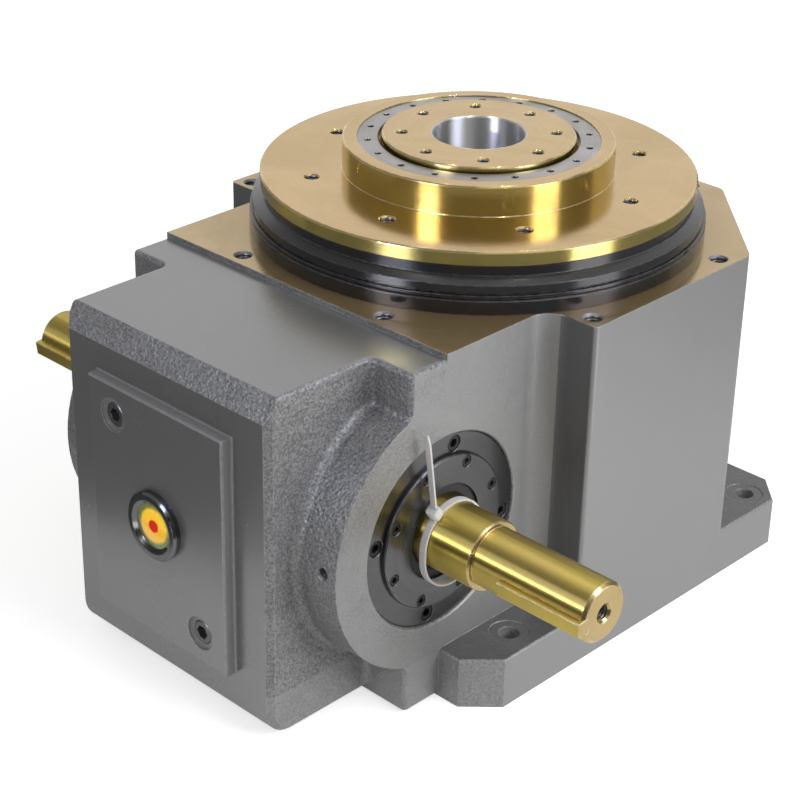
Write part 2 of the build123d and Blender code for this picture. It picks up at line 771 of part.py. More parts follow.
def cross_rollers():
    """The crossed rollers, tilted to alternate sides."""
    roller = Cylinder(cross_roller_size / 2 - running_gap, cross_roller_size - axial_gap)
    place = Pos(cross_pitch_radius, 0, cross_middle)
    return grouped([
        Rot(0, 0, turn * 360 / cross_roller_count) * place * Rot(0, 45 if turn % 2 else -45, 0) * roller
        for turn in range(cross_roller_count)])


# Lower bearing and base cover
def lower_race(inner):
    """One race of the lower roller bearing."""
    if inner:
        return ring(lower_race_outer, lower_race_inner + seat_gap, lower_bearing_bottom,
                    lower_bearing_top)
    return ring(lower_cup_radius, lower_track, lower_bearing_bottom, lower_bearing_top)


def lower_rollers():
    """The rollers of the lower bearing."""
    place = Pos(lower_pitch_radius, 0, lower_bearing_bottom + lower_roller_short)
    roller = bar(lower_roller_radius - running_gap, lower_bearing_height - 2 * lower_roller_short)
    return grouped(round_z(place * roller, lower_roller_count))


def base_cover():
    """The cover under the rotor: it closes the casting, holds the lower race and the column."""
    cup = lower_cup_radius + seat_gap
    nut = column_nut_radius + 1.0
    wall_top = lower_bearing_top - race_relief
    body = turned([
        (nut, cover_disc_lift), (cover_disc_radius, cover_disc_lift),
        (cover_disc_radius, cover_disc_top), (cover_plug_radius, cover_disc_top),
        (cover_plug_radius, wall_top), (cup, wall_top), (cup, lower_bearing_bottom),
        (lower_race_outer + race_relief, lower_bearing_bottom),
        (lower_race_outer + race_relief, cover_plug_top), (column_radius + seat_gap, cover_plug_top),
        (column_radius + seat_gap, cover_disc_lift + column_nut_height),
        (nut, cover_disc_lift + column_nut_height)])
    up = Pos(base_screw_pitch, 0, cover_disc_lift + base_screw_sink) * Rot(180, 0, 0)
    screw = up * screw_holes(m8, cover_disc_thickness - base_screw_sink)
    return drilled(body, round_z(screw, base_screw_count, base_screw_turn))


def base_screw():
    """One screw of the base cover, put in from below."""
    up = Pos(base_screw_pitch, 0, cover_disc_lift + base_screw_sink) * Rot(180, 0, 0)
    length = cover_disc_thickness - base_screw_sink + base_screw_hold
    return up * cap_screw((m8[0], m8[1], base_screw_sink), length)


# Fixed column
def centre_column():
    """The hollow fixed column: a tube with a collar on the base cover and a drilled disc on top."""
    collar = column_radius + column_shoulder
    body = turned([
        (column_bore, 0), (column_radius, 0), (column_radius, cover_plug_top),
        (collar, cover_plug_top), (collar, cover_plug_top + column_shoulder),
        (column_radius, cover_plug_top + column_shoulder), (column_radius, column_disc_bottom),
        (column_disc_radius, column_disc_bottom), (column_disc_radius, column_top - disc_edge),
        (column_disc_radius - disc_edge, column_top), (column_bore + ring_edge, column_top),
        (column_bore, column_top - ring_edge)])
    hole = Pos(column_hole_pitch, 0, column_top) * tapped(column_hole_radius, column_disc_height - 2.0)
    return drilled(body, round_z(hole, column_hole_count))


def column_nut():
    """The slotted ring nut under the base cover."""
    top = cover_disc_lift + column_nut_height
    body = ring(column_nut_radius, column_radius, cover_disc_lift, top)
    slot = Pos(column_nut_radius, 0, cover_disc_lift) * Box(
        nut_slot, nut_slot, column_nut_height, align=STAND)
    return drilled(body, round_z(slot, 4))


def hub_seal():
    """The seal between the fixed column and the turning hub."""
    low = column_disc_bottom - axial_gap - hub_seal_height
    lip = column_radius + running_gap
    back = column_radius + 3.0
    return turned([
        (lip, low + 3.0), (column_radius + 2.0, low), (hub_seal_outer, low),
        (hub_seal_outer, low + hub_seal_height), (back, low + hub_seal_height), (lip, low + 5.0)])


# Input side, drawn about +X through the middle of the shaft
def input_shaft():
    """The stepped input shaft, alike at both ends, with its keyways and centre holes."""
    core = cam_length / 2
    half = [(0, shaft_core_radius), (core, shaft_core_radius), (core, shaft_bearing_radius),
            (journal_end, shaft_bearing_radius), (journal_end, shaft_seal_radius),
            (shaft_step - step_chamfer, shaft_seal_radius),
            (shaft_step, shaft_seal_radius - step_chamfer), (shaft_step, shaft_end_radius),
            (shaft_reach - shaft_chamfer, shaft_end_radius),
            (shaft_reach, shaft_end_radius - shaft_chamfer), (shaft_reach, 0)]
    body = turned_x(half + [(-x, r) for x, r in reversed(half) if x > 0])
    body = drilled(body, [shaft_key(), mirrored(shaft_key()), cam_key()])
    end = facing_x(shaft_reach, 0) * tapped(centre_hole_radius, centre_hole_depth, centre_hole_sink)
    return drilled(body, [end, mirrored(end)])


def shaft_key():
    """The plain block of a shaft end's key, flush with the end of the shaft."""
    block = Pos(shaft_reach - key_length, shaft_end_radius - key_depth, 0) * Box(
        key_length, key_depth + key_rise, key_width, align=(LOW, LOW, Align.CENTER))
    return Rot(key_angle, 0, 0) * block


def bevelled_key():
    """The key as fitted, with its outer edges bevelled."""
    upright = Rot(-key_angle, 0, 0) * shaft_key()
    edges = upright.edges().filter_by(Axis.X).group_by(Axis.Y)[-1]
    return Rot(key_angle, 0, 0) * chamfer(edges, key_chamfer)


def cam_key():
    """The key between the shaft and the cam, on the upper side."""
    return Pos(0, 0, shaft_core_radius - cam_key_height / 2) * Box(
        cam_key_length, cam_key_width, cam_key_height, align=STAND)


def cam_section(angle):
    """One section of the cam's rib, in the plane through the cam axis that it turns to.

    A follower's axis lies along a line from the output axis.  The rib fills the space between two
    neighbouring followers, so each of its flanks is parallel to the axis of the follower beside it,
    at the roller's radius and a little more, because the rib passes the roller at its lead angle.
    """
    half_pitch = 180 / follower_count
    deep = cam_root + 4.0
    corners = []
    for side, distances in ((-1, (deep, rib_tip)), (1, (rib_tip, deep))):
        line = radians(angle + side * half_pitch)
        for distance in distances:
            lead = distance / follower_count / (centre_distance - distance * cos(line))
            reach = roller_radius * sqrt(1 + lead ** 2) + flank_gap
            x = distance * sin(line) - side * reach * cos(line)
            radius = centre_distance - distance * cos(line) - side * reach * sin(line)
            corners.append((x, radius, 0))
    turn = -(angle - half_pitch) * follower_count
    return Rot(turn, 0, 0) * make_face(Polyline(*corners, close=True))


def indexing_cam():
    """The globoidal cam: an hourglass body with one rib that winds round it.

    One turn of the cam moves the followers on by one pitch.
    """
    half = cam_length / 2
    waist = centre_distance - cam_root
    end_radius = centre_distance - sqrt(cam_root ** 2 - half ** 2)
    side = Polyline((half, end_radius, 0), (half, 0, 0), (-half, 0, 0), (-half, end_radius, 0))
    hollow = ThreePointArc((-half, end_radius, 0), (0, waist, 0), (half, end_radius, 0))
    body = revolve(make_face([side, hollow]), Axis.X)
    span = degrees(atan2(half, cam_root - half)) + 180 / follower_count
    steps = ceil(2 * span * follower_count / rib_step)
    angles = [-span + 2 * span * step / steps for step in range(steps + 1)]
    rib = loft([cam_section(angle) for angle in angles])
    rib &= rod_x(cam_outer_radius, -half, half)
    body += rib
    body -= rod_x(shaft_core_radius + seat_gap, -half, half)
    return body - cam_key()


def taper_apex():
    """Place where the axes of the tapered rollers meet, outboard of the bearing."""
    middle = cone_face + input_bearing_width / 2
    return middle + taper_pitch_radius / tan(radians(roller_tilt))


def bearing_cup():
    """Outer race of an input bearing."""
    apex = taper_apex()
    slope = tan(radians(roller_tilt + roller_half_angle))
    inner = cone_face + cup_setback
    return turned_x([
        (inner, cup_radius), (cup_face, cup_radius), (cup_face, (apex - cup_face) * slope),
        (inner, (apex - inner) * slope)])


def bearing_cone():
    """Inner race of an input bearing, with its rib at the large ends of the rollers."""
    apex = taper_apex()
    slope = tan(radians(roller_tilt - roller_half_angle))
    lip = cone_face + cone_lip
    outer = cup_face - cone_short
    bore = shaft_bearing_radius + seat_gap
    lip_radius = (apex - lip) * slope + cone_lip_rise
    return turned_x([
        (cone_face, bore), (outer, bore), (outer, (apex - outer) * slope),
        (lip, (apex - lip) * slope), (lip, lip_radius), (cone_face, lip_radius)])


def bearing_rollers():
    """The tapered rollers of an input bearing."""
    middle = hypot(taper_pitch_radius, taper_pitch_radius / tan(radians(roller_tilt)))
    near = middle - taper_roller_length / 2
    far = middle + taper_roller_length / 2
    slope = tan(radians(roller_half_angle))
    roller = Pos(0, 0, near) * Cone(
        near * slope - running_gap, far * slope - running_gap, far - near, align=STAND)
    roller = Pos(taper_apex(), 0, 0) * Rot(0, roller_tilt - 90, 0) * roller
    return grouped(round_x(roller, taper_roller_count))


def cam_spacer():
    """Sleeve between the cam and the inner race."""
    low = cam_length / 2
    bore = shaft_bearing_radius + seat_gap
    return turned_x([
        (low, bore), (cone_face, bore), (cone_face, shaft_bearing_radius + 6.0),
        (low, shaft_bearing_radius + 9.0)])


def cartridge():
    """Bearing cartridge in the boss: a sleeve round the outer race, a lip that holds it, and a
    flange let into the boss face, with a pocket for the cover."""
    cup = cup_radius + seat_gap
    pocket = cover_radius + seat_gap
    body = turned_x([
        (cartridge_end, sleeve_radius), (cartridge_seat, sleeve_radius),
        (cartridge_seat, cartridge_radius), (cartridge_face - cartridge_edge, cartridge_radius),
        (cartridge_face, cartridge_radius - cartridge_edge), (cartridge_face, pocket),
        (cover_pocket, pocket), (cover_pocket, cartridge_lip_radius),
        (cup_face, cartridge_lip_radius), (cup_face, cup), (cartridge_end, cup)])
    seat = facing_x(cartridge_face - cartridge_screw_sink, cartridge_screw_pitch)
    holes = round_x(seat * screw_holes(m6, cartridge_flange), cartridge_screw_count,
                    cartridge_screw_turn)
    tap = facing_x(cover_pocket - cover_tap_depth, cover_screw_pitch) * bar(m4[0], cover_tap_depth)
    return drilled(body, holes + round_x(tap, cover_screw_count, cover_screw_turn))


def cartridge_screw():
    """One socket-head screw of a cartridge."""
    seat = facing_x(cartridge_face - cartridge_screw_sink, cartridge_screw_pitch)
    return seat * cap_screw(m6, cartridge_flange - cartridge_screw_sink + cartridge_tap_depth - 2.0)


def bearing_cover():
    """Cover in the cartridge's pocket, which holds the shaft seal."""
    spigot = cartridge_lip_radius - seat_gap
    low = cover_pocket - cover_spigot
    pocket = seal_outer + seat_gap
    lip = seal_outer - 3.0
    body = turned_x([
        (low, spigot), (cover_pocket, spigot), (cover_pocket, cover_radius),
        (cover_face - cartridge_edge, cover_radius), (cover_face, cover_radius - cartridge_edge),
        (cover_face, pocket), (seal_back, pocket), (seal_back, lip), (low, lip)])
    holes = facing_x(cover_face - cover_screw_sink, cover_screw_pitch) * screw_holes(
        m4, cover_sink + cover_rise)
    return drilled(body, round_x(holes, cover_screw_count, cover_screw_turn))


def cover_screw():
    """One low-head socket screw of a bearing cover."""
    seat = cover_face - cover_screw_sink
    return facing_x(seat, cover_screw_pitch) * cap_screw(
        m4, seat - cover_pocket + cover_tap_depth - 1.0)


def shaft_seal():
    """Oil seal round the shaft."""
    lip = shaft_seal_radius + running_gap
    hollow = seal_outer - 3.0
    return turned_x([
        (seal_back, seal_outer), (seal_face, seal_outer), (seal_face, shaft_seal_radius + 2.5),
        (seal_face - 2.0, lip), (seal_face - 3.4, lip), (seal_face - 3.4, hollow),
        (seal_back, hollow)])


def tie_loop():
    """The closed strap of the cable tie, which hangs on the shaft and is a little out of round."""
    inner = shaft_seal_radius + tie_slack
    outer = inner + tie_thickness
    outline = SlotCenterToCenter(tie_stretch, 2 * outer, rotation=90)
    outline -= SlotCenterToCenter(tie_stretch, 2 * inner, rotation=90)
    middle = -tie_slack - tie_stretch / 2
    return Pos(0, 0, middle) * extrude(Plane.YZ * outline, tie_width / 2, both=True)


def cable_tie():
    """The nylon tie looped loosely round the large part of the shaft, with its head and tail."""
    middle = shaft_seal_radius + tie_thickness + tie_head_height / 2
    head = Pos(0, 0, middle) * Box(tie_width + 2.6, tie_head_width, tie_head_height + 1.0)
    head = chamfer(head.edges().filter_by(Axis.Z), tie_thickness)
    flat = Box(tie_width - 0.6, tie_thickness, tie_tail, align=STAND)
    edges = flat.edges().filter_by(Axis.Y).group_by(Axis.Z)[-1]
    tail = Pos(0, 0, middle) * Rot(-tie_tail_turn, 0, 0) * chamfer(edges, tie_tip, tie_width / 4)
    tie = tie_loop() + Rot(tie_turn, 0, 0) * (head + tail)
    return Pos(shaft_step - tie_inset, 0, 0) * tie


# Plugs and sight glass, drawn with their faces towards +Z
def pipe_plug():
    """A hexagon-socket pipe plug."""
    body = Pos(0, 0, -plug_length) * bar(plug_radius, plug_length)
    body = chamfer(body.edges().sort_by(Axis.Z)[-1], plug_edge)
    across = plug_hex / 2 / cos(radians(30))
    return body - Pos(0, 0, -plug_socket) * extrude(RegularPolygon(across, 6), plug_socket)


def sight_glass_body():
    """The threaded bezel of the sight glass."""
    return turned([
        (glass_window_radius, -glass_thread_length), (glass_thread_radius, -glass_thread_length),
        (glass_thread_radius, 0), (glass_radius, 0), (glass_radius, glass_rise - glass_edge),
        (glass_radius - glass_edge, glass_rise),
        (glass_window_radius + glass_window_flare, glass_rise),
        (glass_window_radius, glass_rise - 2.0)])


def sight_glass_lens():
    """The clear dome of the sight glass."""
    low = glass_rise - glass_thickness
    top = glass_rise - 2.0 + glass_crown
    dome = (glass_window_radius ** 2 + glass_crown ** 2) / (2 * glass_crown)
    blank = Pos(0, 0, low) * bar(glass_window_radius, top - low)
    return blank & Pos(0, 0, top - dome) * Sphere(dome)


def sight_glass_reflector():
    """The reflector disc behind the lens."""
    top = glass_rise - glass_thickness
    return ring(glass_window_radius, 0, top - reflector_thickness, top)


def build_casing():
    """The casting and what closes and holds it together."""
    pieces["housing"] = housing()
    pieces["base_cover"] = base_cover()
    pieces["base_cover_screws"] = grouped(round_z(base_screw(), base_screw_count, base_screw_turn))
    pieces["bearing_retainer"] = bearing_retainer()
    down = Pos(retainer_screw_pitch, 0, retainer_top - retainer_screw_sink) * cap_screw(
        m5, retainer_screw_length, False)
    pieces["retainer_screws"] = grouped(round_z(down, retainer_screw_count, retainer_screw_turn))
    pieces["output_seal"] = output_seal()
    front = Pos(0, pad_y, axis_height) * Rot(90, 0, 0)
    sunk = plug_sink - 0.4
    pieces["filler_plug"] = front * Pos(-plug_x, plug_z, -sunk) * pipe_plug()
    pieces["drain_plug"] = front * Pos(plug_x, -plug_z, -sunk) * pipe_plug()
    pieces["sight_glass_body"] = front * sight_glass_body()
    pieces["sight_glass_lens"] = front * sight_glass_lens()
    pieces["sight_glass_reflector"] = front * sight_glass_reflector()


def build_output():
    """The rotor, its followers, the output flange and its bearings, and the fixed column."""
    washer = ring(washer_radius, 0, stud_end, washer_end)
    places = [follower_place(turn) for turn in range(follower_count)]
    pieces["rotor"] = rotor()
    pieces["follower_studs"] = grouped([place * follower_stud() for place in places])
    pieces["follower_washers"] = grouped([place * washer for place in places])
    for turn, place in enumerate(places):
        pieces[f"follower_roller_{turn + 1}"] = place * follower_roller()
    pieces["output_flange"] = output_flange()
    pieces["hub_cover_ring"] = hub_cover_ring()
    pieces["ring_screws"] = grouped(round_z(ring_screw(), ring_screw_count, ring_screw_turn))
    screw = Pos(rotor_screw_pitch, 0, rotor_screw_seat) * cap_screw(
        m8, rotor_screw_seat - cross_bearing_bottom + rotor_screw_depth)
    pieces["rotor_screws"] = grouped(round_z(screw, rotor_screw_count, rotor_screw_turn))
    pieces["seal_ring"] = seal_ring()
    pieces["output_bearing_outer_race"] = cross_race(False)
    pieces["output_bearing_inner_race"] = cross_race(True)
    pieces["output_bearing_rollers"] = cross_rollers()
    pieces["lower_bearing_outer_race"] = lower_race(False)
    pieces["lower_bearing_inner_race"] = lower_race(True)
    pieces["lower_bearing_rollers"] = lower_rollers()
    pieces["centre_column"] = centre_column()
    pieces["column_nut"] = column_nut()
    pieces["hub_seal"] = hub_seal()


def build_input():
    """The input shaft with its cam and keys, and its two bearings in their cartridges."""
    pieces["input_shaft"] = AT_INPUT * input_shaft()
    pieces["indexing_cam"] = AT_INPUT * indexing_cam()
    pieces["cam_key"] = AT_INPUT * cam_key()
    cartridge_screws = round_x(cartridge_screw(), cartridge_screw_count, cartridge_screw_turn)
    cover_screws = round_x(cover_screw(), cover_screw_count, cover_screw_turn)
    ends = {
        "shaft_key": bevelled_key(), "cam_spacer": cam_spacer(), "bearing_cone": bearing_cone(),
        "bearing_cup": bearing_cup(), "bearing_rollers": bearing_rollers(),
        "cartridge": cartridge(), "bearing_cover": bearing_cover(), "shaft_seal": shaft_seal(),
        "cartridge_screws": grouped(cartridge_screws), "cover_screws": grouped(cover_screws)}
    for name, shape in ends.items():
        pieces[f"front_{name}"] = AT_INPUT * shape
        pieces[f"rear_{name}"] = AT_INPUT * mirrored(shape)
    pieces["cable_tie"] = AT_INPUT * cable_tie()


build_casing()
build_output()
build_input()
for node, shape in pieces.items():
    export_step(shape, f"parts/{node}.step")
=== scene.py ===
"""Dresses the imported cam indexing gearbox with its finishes, small details and studio.

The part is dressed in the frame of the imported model: +Z is the output axis, +X is the input shaft
towards its front end and -Y is the side of the cam case.  All lengths are in metres.
"""

import json
import logging
import math
from dataclasses import dataclass, field
from enum import Enum
from functools import reduce
from typing import Any, Iterable, Sequence

import bmesh
import bpy
from mathutils import Matrix, Vector

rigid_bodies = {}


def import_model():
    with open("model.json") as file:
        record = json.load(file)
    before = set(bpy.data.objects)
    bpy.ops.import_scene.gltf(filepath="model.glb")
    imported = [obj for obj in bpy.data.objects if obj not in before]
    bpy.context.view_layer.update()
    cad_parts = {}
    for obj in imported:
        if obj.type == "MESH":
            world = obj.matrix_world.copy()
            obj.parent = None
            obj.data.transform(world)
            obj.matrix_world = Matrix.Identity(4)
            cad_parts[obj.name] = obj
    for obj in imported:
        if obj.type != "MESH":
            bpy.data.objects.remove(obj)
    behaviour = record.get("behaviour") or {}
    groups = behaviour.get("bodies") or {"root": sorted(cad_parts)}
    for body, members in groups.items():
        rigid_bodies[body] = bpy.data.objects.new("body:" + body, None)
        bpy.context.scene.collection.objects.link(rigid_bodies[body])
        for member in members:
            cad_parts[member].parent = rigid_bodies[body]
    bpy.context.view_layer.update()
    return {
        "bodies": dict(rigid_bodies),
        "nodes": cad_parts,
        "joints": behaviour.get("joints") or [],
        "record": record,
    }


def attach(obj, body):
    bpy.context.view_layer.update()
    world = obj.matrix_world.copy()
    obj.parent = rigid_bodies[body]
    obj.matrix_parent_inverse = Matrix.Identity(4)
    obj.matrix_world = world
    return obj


LOG = logging.getLogger("gearbox")
Colour = tuple[float, float, float]
Socket = bpy.types.NodeSocket
Node = bpy.types.Node
Sockets = dict[str, Socket]
INPUT_AXIS = Vector((0.0, -0.160, 0.120))
FOLLOWERS = 8


class Axis(Enum):
    """Axes that the turned pieces are turned about."""

    OUTPUT = "Z"
    INPUT = "X"


class Reach(Enum):
    """What a studio light reaches."""

    ALL = "gloss and matt surfaces, with a shadow"
    GLOSS = "gloss alone, as a polished strip light"
    FILL = "matt surfaces alone, with no shadow"


class Graph:
    """Short calls that build one node tree."""

    def __init__(self, tree: bpy.types.NodeTree) -> None:
        """Empty a node tree and start on it."""
        self.tree = tree
        tree.nodes.clear()

    def add(self, kind: str, **settings: Any) -> Node:
        """Add a node.

        Args:
            kind: The node's class, without its leading word Shader.
            **settings: Properties of the node.

        Returns:
            The new node.
        """
        edge = kind in ("NodeGroupInput", "NodeGroupOutput")
        node = self.tree.nodes.new(kind if edge else "Shader" + kind)
        for name, value in settings.items():
            setattr(node, name, value)
        return node

    def feed(self, node: Node, *values: Any, **named: Any) -> Node:
        """Set or link inputs of a node.

        Args:
            node: The node.
            *values: A socket to link or a constant for each input, in their order.
            **named: The same by the input's name, with _ for each space.

        Returns:
            The same node.
        """
        for socket, value in zip(node.inputs, values):
            self.join(socket, value)
        for name, value in named.items():
            self.join(node.inputs[name.replace("_", " ")], value)
        return node

    def join(self, socket: Socket, value: Any) -> None:
        """Link a socket, or set its constant.

        Args:
            socket: The input.
            value: A socket, a number, a vector or a colour.
        """
        if isinstance(value, bpy.types.NodeSocket):
            self.tree.links.new(value, socket)
        elif socket.type == "RGBA" and len(value) == 3:
            socket.default_value = (*value, 1.0)
        else:
            socket.default_value = value

    def math(self, operation: str, *values: Any) -> Socket:
        """Add a Math node and return its result."""
        return self.feed(self.add("NodeMath", operation=operation), *values).outputs[0]

    def scale(self, value: Any, factor: Any) -> Socket:
        """Multiply a number by a factor."""
        return self.math("MULTIPLY", value, factor)

    def ramp(self, value: Any, slope: Any, start: Any) -> Socket:
        """Multiply a number by a slope and add it to a start."""
        return self.math("MULTIPLY_ADD", value, slope, start)

    def vector(self, operation: str, *values: Any) -> Socket:
        """Add a Vector Math node and return its vector, length or dot product."""
        result = "Value" if operation in ("LENGTH", "DOT_PRODUCT") else "Vector"
        return self.feed(self.add("NodeVectorMath", operation=operation), *values).outputs[result]

    def split(self, vector: Socket) -> tuple[Socket, Socket, Socket]:
        """Split a vector into its three numbers."""
        x, y, z = self.feed(self.add("NodeSeparateXYZ"), vector).outputs
        return x, y, z

    def combine(self, x: Any = 0.0, y: Any = 0.0, z: Any = 0.0) -> Socket:
        """Make a vector of three numbers."""
        return self.feed(self.add("NodeCombineXYZ"), x, y, z).outputs[0]

    def length(self, x: Any, y: Any) -> Socket:
        """Find the length of a vector of two numbers."""
        return self.vector("LENGTH", self.combine(x, y))

    def remap(self, value: Any, low: float, high: float, first: float = 0.0,
              last: float = 1.0) -> Socket:
        """Map the range from low to high onto the one from first to last, and clamp the result."""
        return self.feed(self.add("NodeMapRange"), value, low, high, first, last).outputs[0]

    def noise(self, vector: Socket, scale: float, detail: float = 2.0, roughness: float = 0.5,
              distortion: float = 0.0) -> Socket:
        """Add a Noise Texture and return its value."""
        return self.feed(self.add("NodeTexNoise"), Vector=vector, Scale=scale, Detail=detail,
                         Roughness=roughness, Distortion=distortion).outputs[0]

    def mix(self, factor: Any, first: Any, second: Any) -> Socket:
        """Mix two colours.

        Args:
            factor: Share of the second.
            first: First colour.
            second: Second colour.

        Returns:
            The mixed colour.
        """
        node = self.add("NodeMix", data_type="RGBA")
        for place, value in ((0, factor), (6, first), (7, second)):
            self.join(node.inputs[place], value)
        return node.outputs[2]

    def bump(self, height: Socket, normal: Socket, strength: float, distance: float) -> Socket:
        """Bend a normal by a relief of a height, a strength and a depth in metres."""
        return self.feed(self.add("NodeBump"), Strength=strength, Distance=distance,
                         Height=height, Normal=normal).outputs[0]

    def output(self, surface: Socket, kind: str = "NodeOutputMaterial") -> None:
        """Add the tree's output and link what it shows."""
        self.join(self.add(kind).inputs["Surface"], surface)

    def both(self, *masks: Socket) -> Socket:
        """Multiply masks, so that the result holds where all of them hold."""
        return reduce(self.scale, masks)

    def either(self, *masks: Socket) -> Socket:
        """Take the largest of some masks."""
        return reduce(lambda one, two: self.math("MAXIMUM", one, two), masks)


def start_nodes(block: bpy.types.ID) -> Graph:
    """Switch a material or a world to nodes and start on its empty tree."""
    block.use_nodes = True
    return Graph(block.node_tree)


class Effect:
    """A node group that is made once and used by many finishes.

    Constants that end in SCALE are scales of a pattern per metre.

    Attributes:
        made: The groups that are made, by name.
        vectors: Names of the sockets that are vectors and not numbers.
        name: Name of the group.
        inputs: Names of its inputs.
        outputs: Names of its outputs.
    """

    made: dict[str, bpy.types.NodeTree] = {}
    vectors = ("Place", "Normal")
    name = ""
    inputs: tuple[str, ...] = ("Place",)
    outputs: tuple[str, ...] = ()

    def fill(self, graph: Graph, given: Sockets) -> Sockets:
        """Build the inside of the group.

        Args:
            graph: The group's tree.
            given: The group's inputs.

        Returns:
            What feeds each output.
        """
        raise NotImplementedError

    def tree(self) -> bpy.types.NodeTree:
        """Make the group, or find it.

        Returns:
            The group's tree.
        """
        if self.name in self.made:
            return self.made[self.name]
        tree = bpy.data.node_groups.new(self.name, "ShaderNodeTree")
        graph = Graph(tree)
        for way, names in (("INPUT", self.inputs), ("OUTPUT", self.outputs)):
            for name in names:
                kind = "NodeSocketVector" if name in self.vectors else "NodeSocketFloat"
                tree.interface.new_socket(name=name, in_out=way, socket_type=kind)
        entry = graph.add("NodeGroupInput")
        leave = graph.add("NodeGroupOutput")
        given = {name: entry.outputs[name] for name in self.inputs}
        for name, value in self.fill(graph, given).items():
            graph.join(leave.inputs[name], value)
        self.made[self.name] = tree
        return tree

    def use(self, graph: Graph, **values: Any) -> Sockets:
        """Put the group into a tree.

        Args:
            graph: The tree.
            **values: Its inputs by name, with _ for each space.

        Returns:
            Its outputs by name.
        """
        node = graph.add("NodeGroup")
        node.node_tree = self.tree()
        graph.feed(node, **values)
        return {name: node.outputs[name] for name in self.outputs}


class TurnedPlace(Effect):
    """Radius and height of a point about one of the two axes."""

    outputs = ("Radius", "Along")

    def __init__(self, axis: Axis) -> None:
        """Choose the axis that the place is measured about."""
        self.name = "place_" + axis.name.lower()
        self.axis = axis

    def fill(self, graph: Graph, given: Sockets) -> Sockets:
        """Build the group; see Effect.fill."""
        if self.axis is Axis.OUTPUT:
            x, y, along = graph.split(given["Place"])
        else:
            moved = graph.vector("SUBTRACT", given["Place"], INPUT_AXIS)
            along, x, y = graph.split(moved)
        return {"Radius": graph.length(x, y), "Along": along}


class ToolMarks(Effect):
    """Fine rings that a turning tool leaves, with a slow wave from ring to ring."""

    name = "tool_marks"
    inputs = ("Radius", "Along")
    outputs = ("Height", "Shade")
    FINE_SCALE = 2600.0
    BROAD_SCALE = 420.0
    BROAD_SHARE = 0.5

    def fill(self, graph: Graph, given: Sockets) -> Sockets:
        """Build the group; see Effect.fill."""
        line = graph.combine(given["Radius"], given["Along"])
        fine = graph.noise(line, self.FINE_SCALE, detail=1.0)
        broad = graph.noise(line, self.BROAD_SCALE, detail=3.0, roughness=0.6)
        return {"Height": graph.ramp(broad, self.BROAD_SHARE, fine),
                "Shade": graph.remap(broad, 0.3, 0.7)}


class CastSkin(Effect):
    """Skin of a sand casting: rounded grains, a slow swell and a few pits."""

    name = "cast_skin"
    outputs = ("Height", "Shade", "Pits")
    GRAIN_SCALE = 330.0
    FINE_SCALE = 700.0
    SWELL_SCALE = 45.0
    PIT_SCALE = 90.0
    WARP_SCALE = 160.0
    WARP_REACH = 0.004
    SAND_SHARE, FINE_SHARE = 0.7, 0.45
    FINE_SHADE, SWELL_SHADE = 0.82, 0.18
    PIT_RADII = (0.10, 0.20)

    def fill(self, graph: Graph, given: Sockets) -> Sockets:
        """Build the group; see Effect.fill."""
        place = given["Place"]
        warp = graph.scale(graph.noise(place, self.WARP_SCALE), self.WARP_REACH)
        moved = graph.vector("ADD", place, graph.combine(warp))
        grain = graph.add("NodeTexVoronoi", feature="SMOOTH_F1")
        graph.feed(grain, Vector=moved, Scale=self.GRAIN_SCALE, Smoothness=0.7)
        fine = graph.noise(place, self.FINE_SCALE, detail=3.0, roughness=0.6)
        swell = graph.noise(place, self.SWELL_SCALE, detail=3.0, roughness=0.55)
        sand = graph.math("SUBTRACT", 1.0, grain.outputs["Distance"])
        height = graph.math("ADD", graph.scale(sand, self.SAND_SHARE),
                            graph.ramp(fine, self.FINE_SHARE, swell))
        pit = graph.add("NodeTexVoronoi", feature="F1")
        graph.feed(pit, Vector=place, Scale=self.PIT_SCALE, Randomness=1.0)
        pits = graph.remap(pit.outputs["Distance"], *self.PIT_RADII, 1.0, 0.0)
        shade = graph.math("ADD", graph.scale(fine, self.FINE_SHADE),
                           graph.scale(swell, self.SWELL_SHADE))
        return {"Height": height, "Shade": graph.remap(shade, 0.40, 0.60), "Pits": pits}


class Smudge(Effect):
    """Wiped oil and handling marks: a soft mask of a few centimetres, and finer streaks."""

    name = "smudge"
    outputs = ("Mask", "Streak")
    SOFT_SCALE = 14.0
    STREAK_SCALE = 90.0
    STRETCH = Vector((1.0, 1.0, 0.12))

    def fill(self, graph: Graph, given: Sockets) -> Sockets:
        """Build the group; see Effect.fill."""
        soft = graph.noise(given["Place"], self.SOFT_SCALE, detail=4.0, roughness=0.6,
                           distortion=0.6)
        tall = graph.vector("MULTIPLY", given["Place"], self.STRETCH)
        streak = graph.noise(tall, self.STREAK_SCALE, detail=4.0, roughness=0.65)
        return {"Mask": graph.remap(soft, 0.38, 0.64), "Streak": graph.remap(streak, 0.4, 0.66)}


class EdgeWear(Effect):
    """Mask of worn edges with a painted highlight, found by how far a rounded normal leaves the
    true one.
    """

    name = "edge_wear"
    outputs = ("Mask", "Normal")
    RADIUS = 0.0011
    BREAK_SCALE = 260.0
    BENDS = (0.985, 0.90)

    def fill(self, graph: Graph, given: Sockets) -> Sockets:
        """Build the group; see Effect.fill."""
        rounded = graph.feed(graph.add("NodeBevel", samples=3), Radius=self.RADIUS)
        true = graph.add("NodeNewGeometry").outputs["Normal"]
        straight = graph.vector("DOT_PRODUCT", rounded.outputs["Normal"], true)
        edge = graph.remap(straight, *self.BENDS)
        breaks = graph.noise(given["Place"], self.BREAK_SCALE, detail=3.0, roughness=0.6)
        return {"Mask": graph.scale(edge, graph.remap(breaks, 0.35, 0.6)),
                "Normal": rounded.outputs["Normal"]}


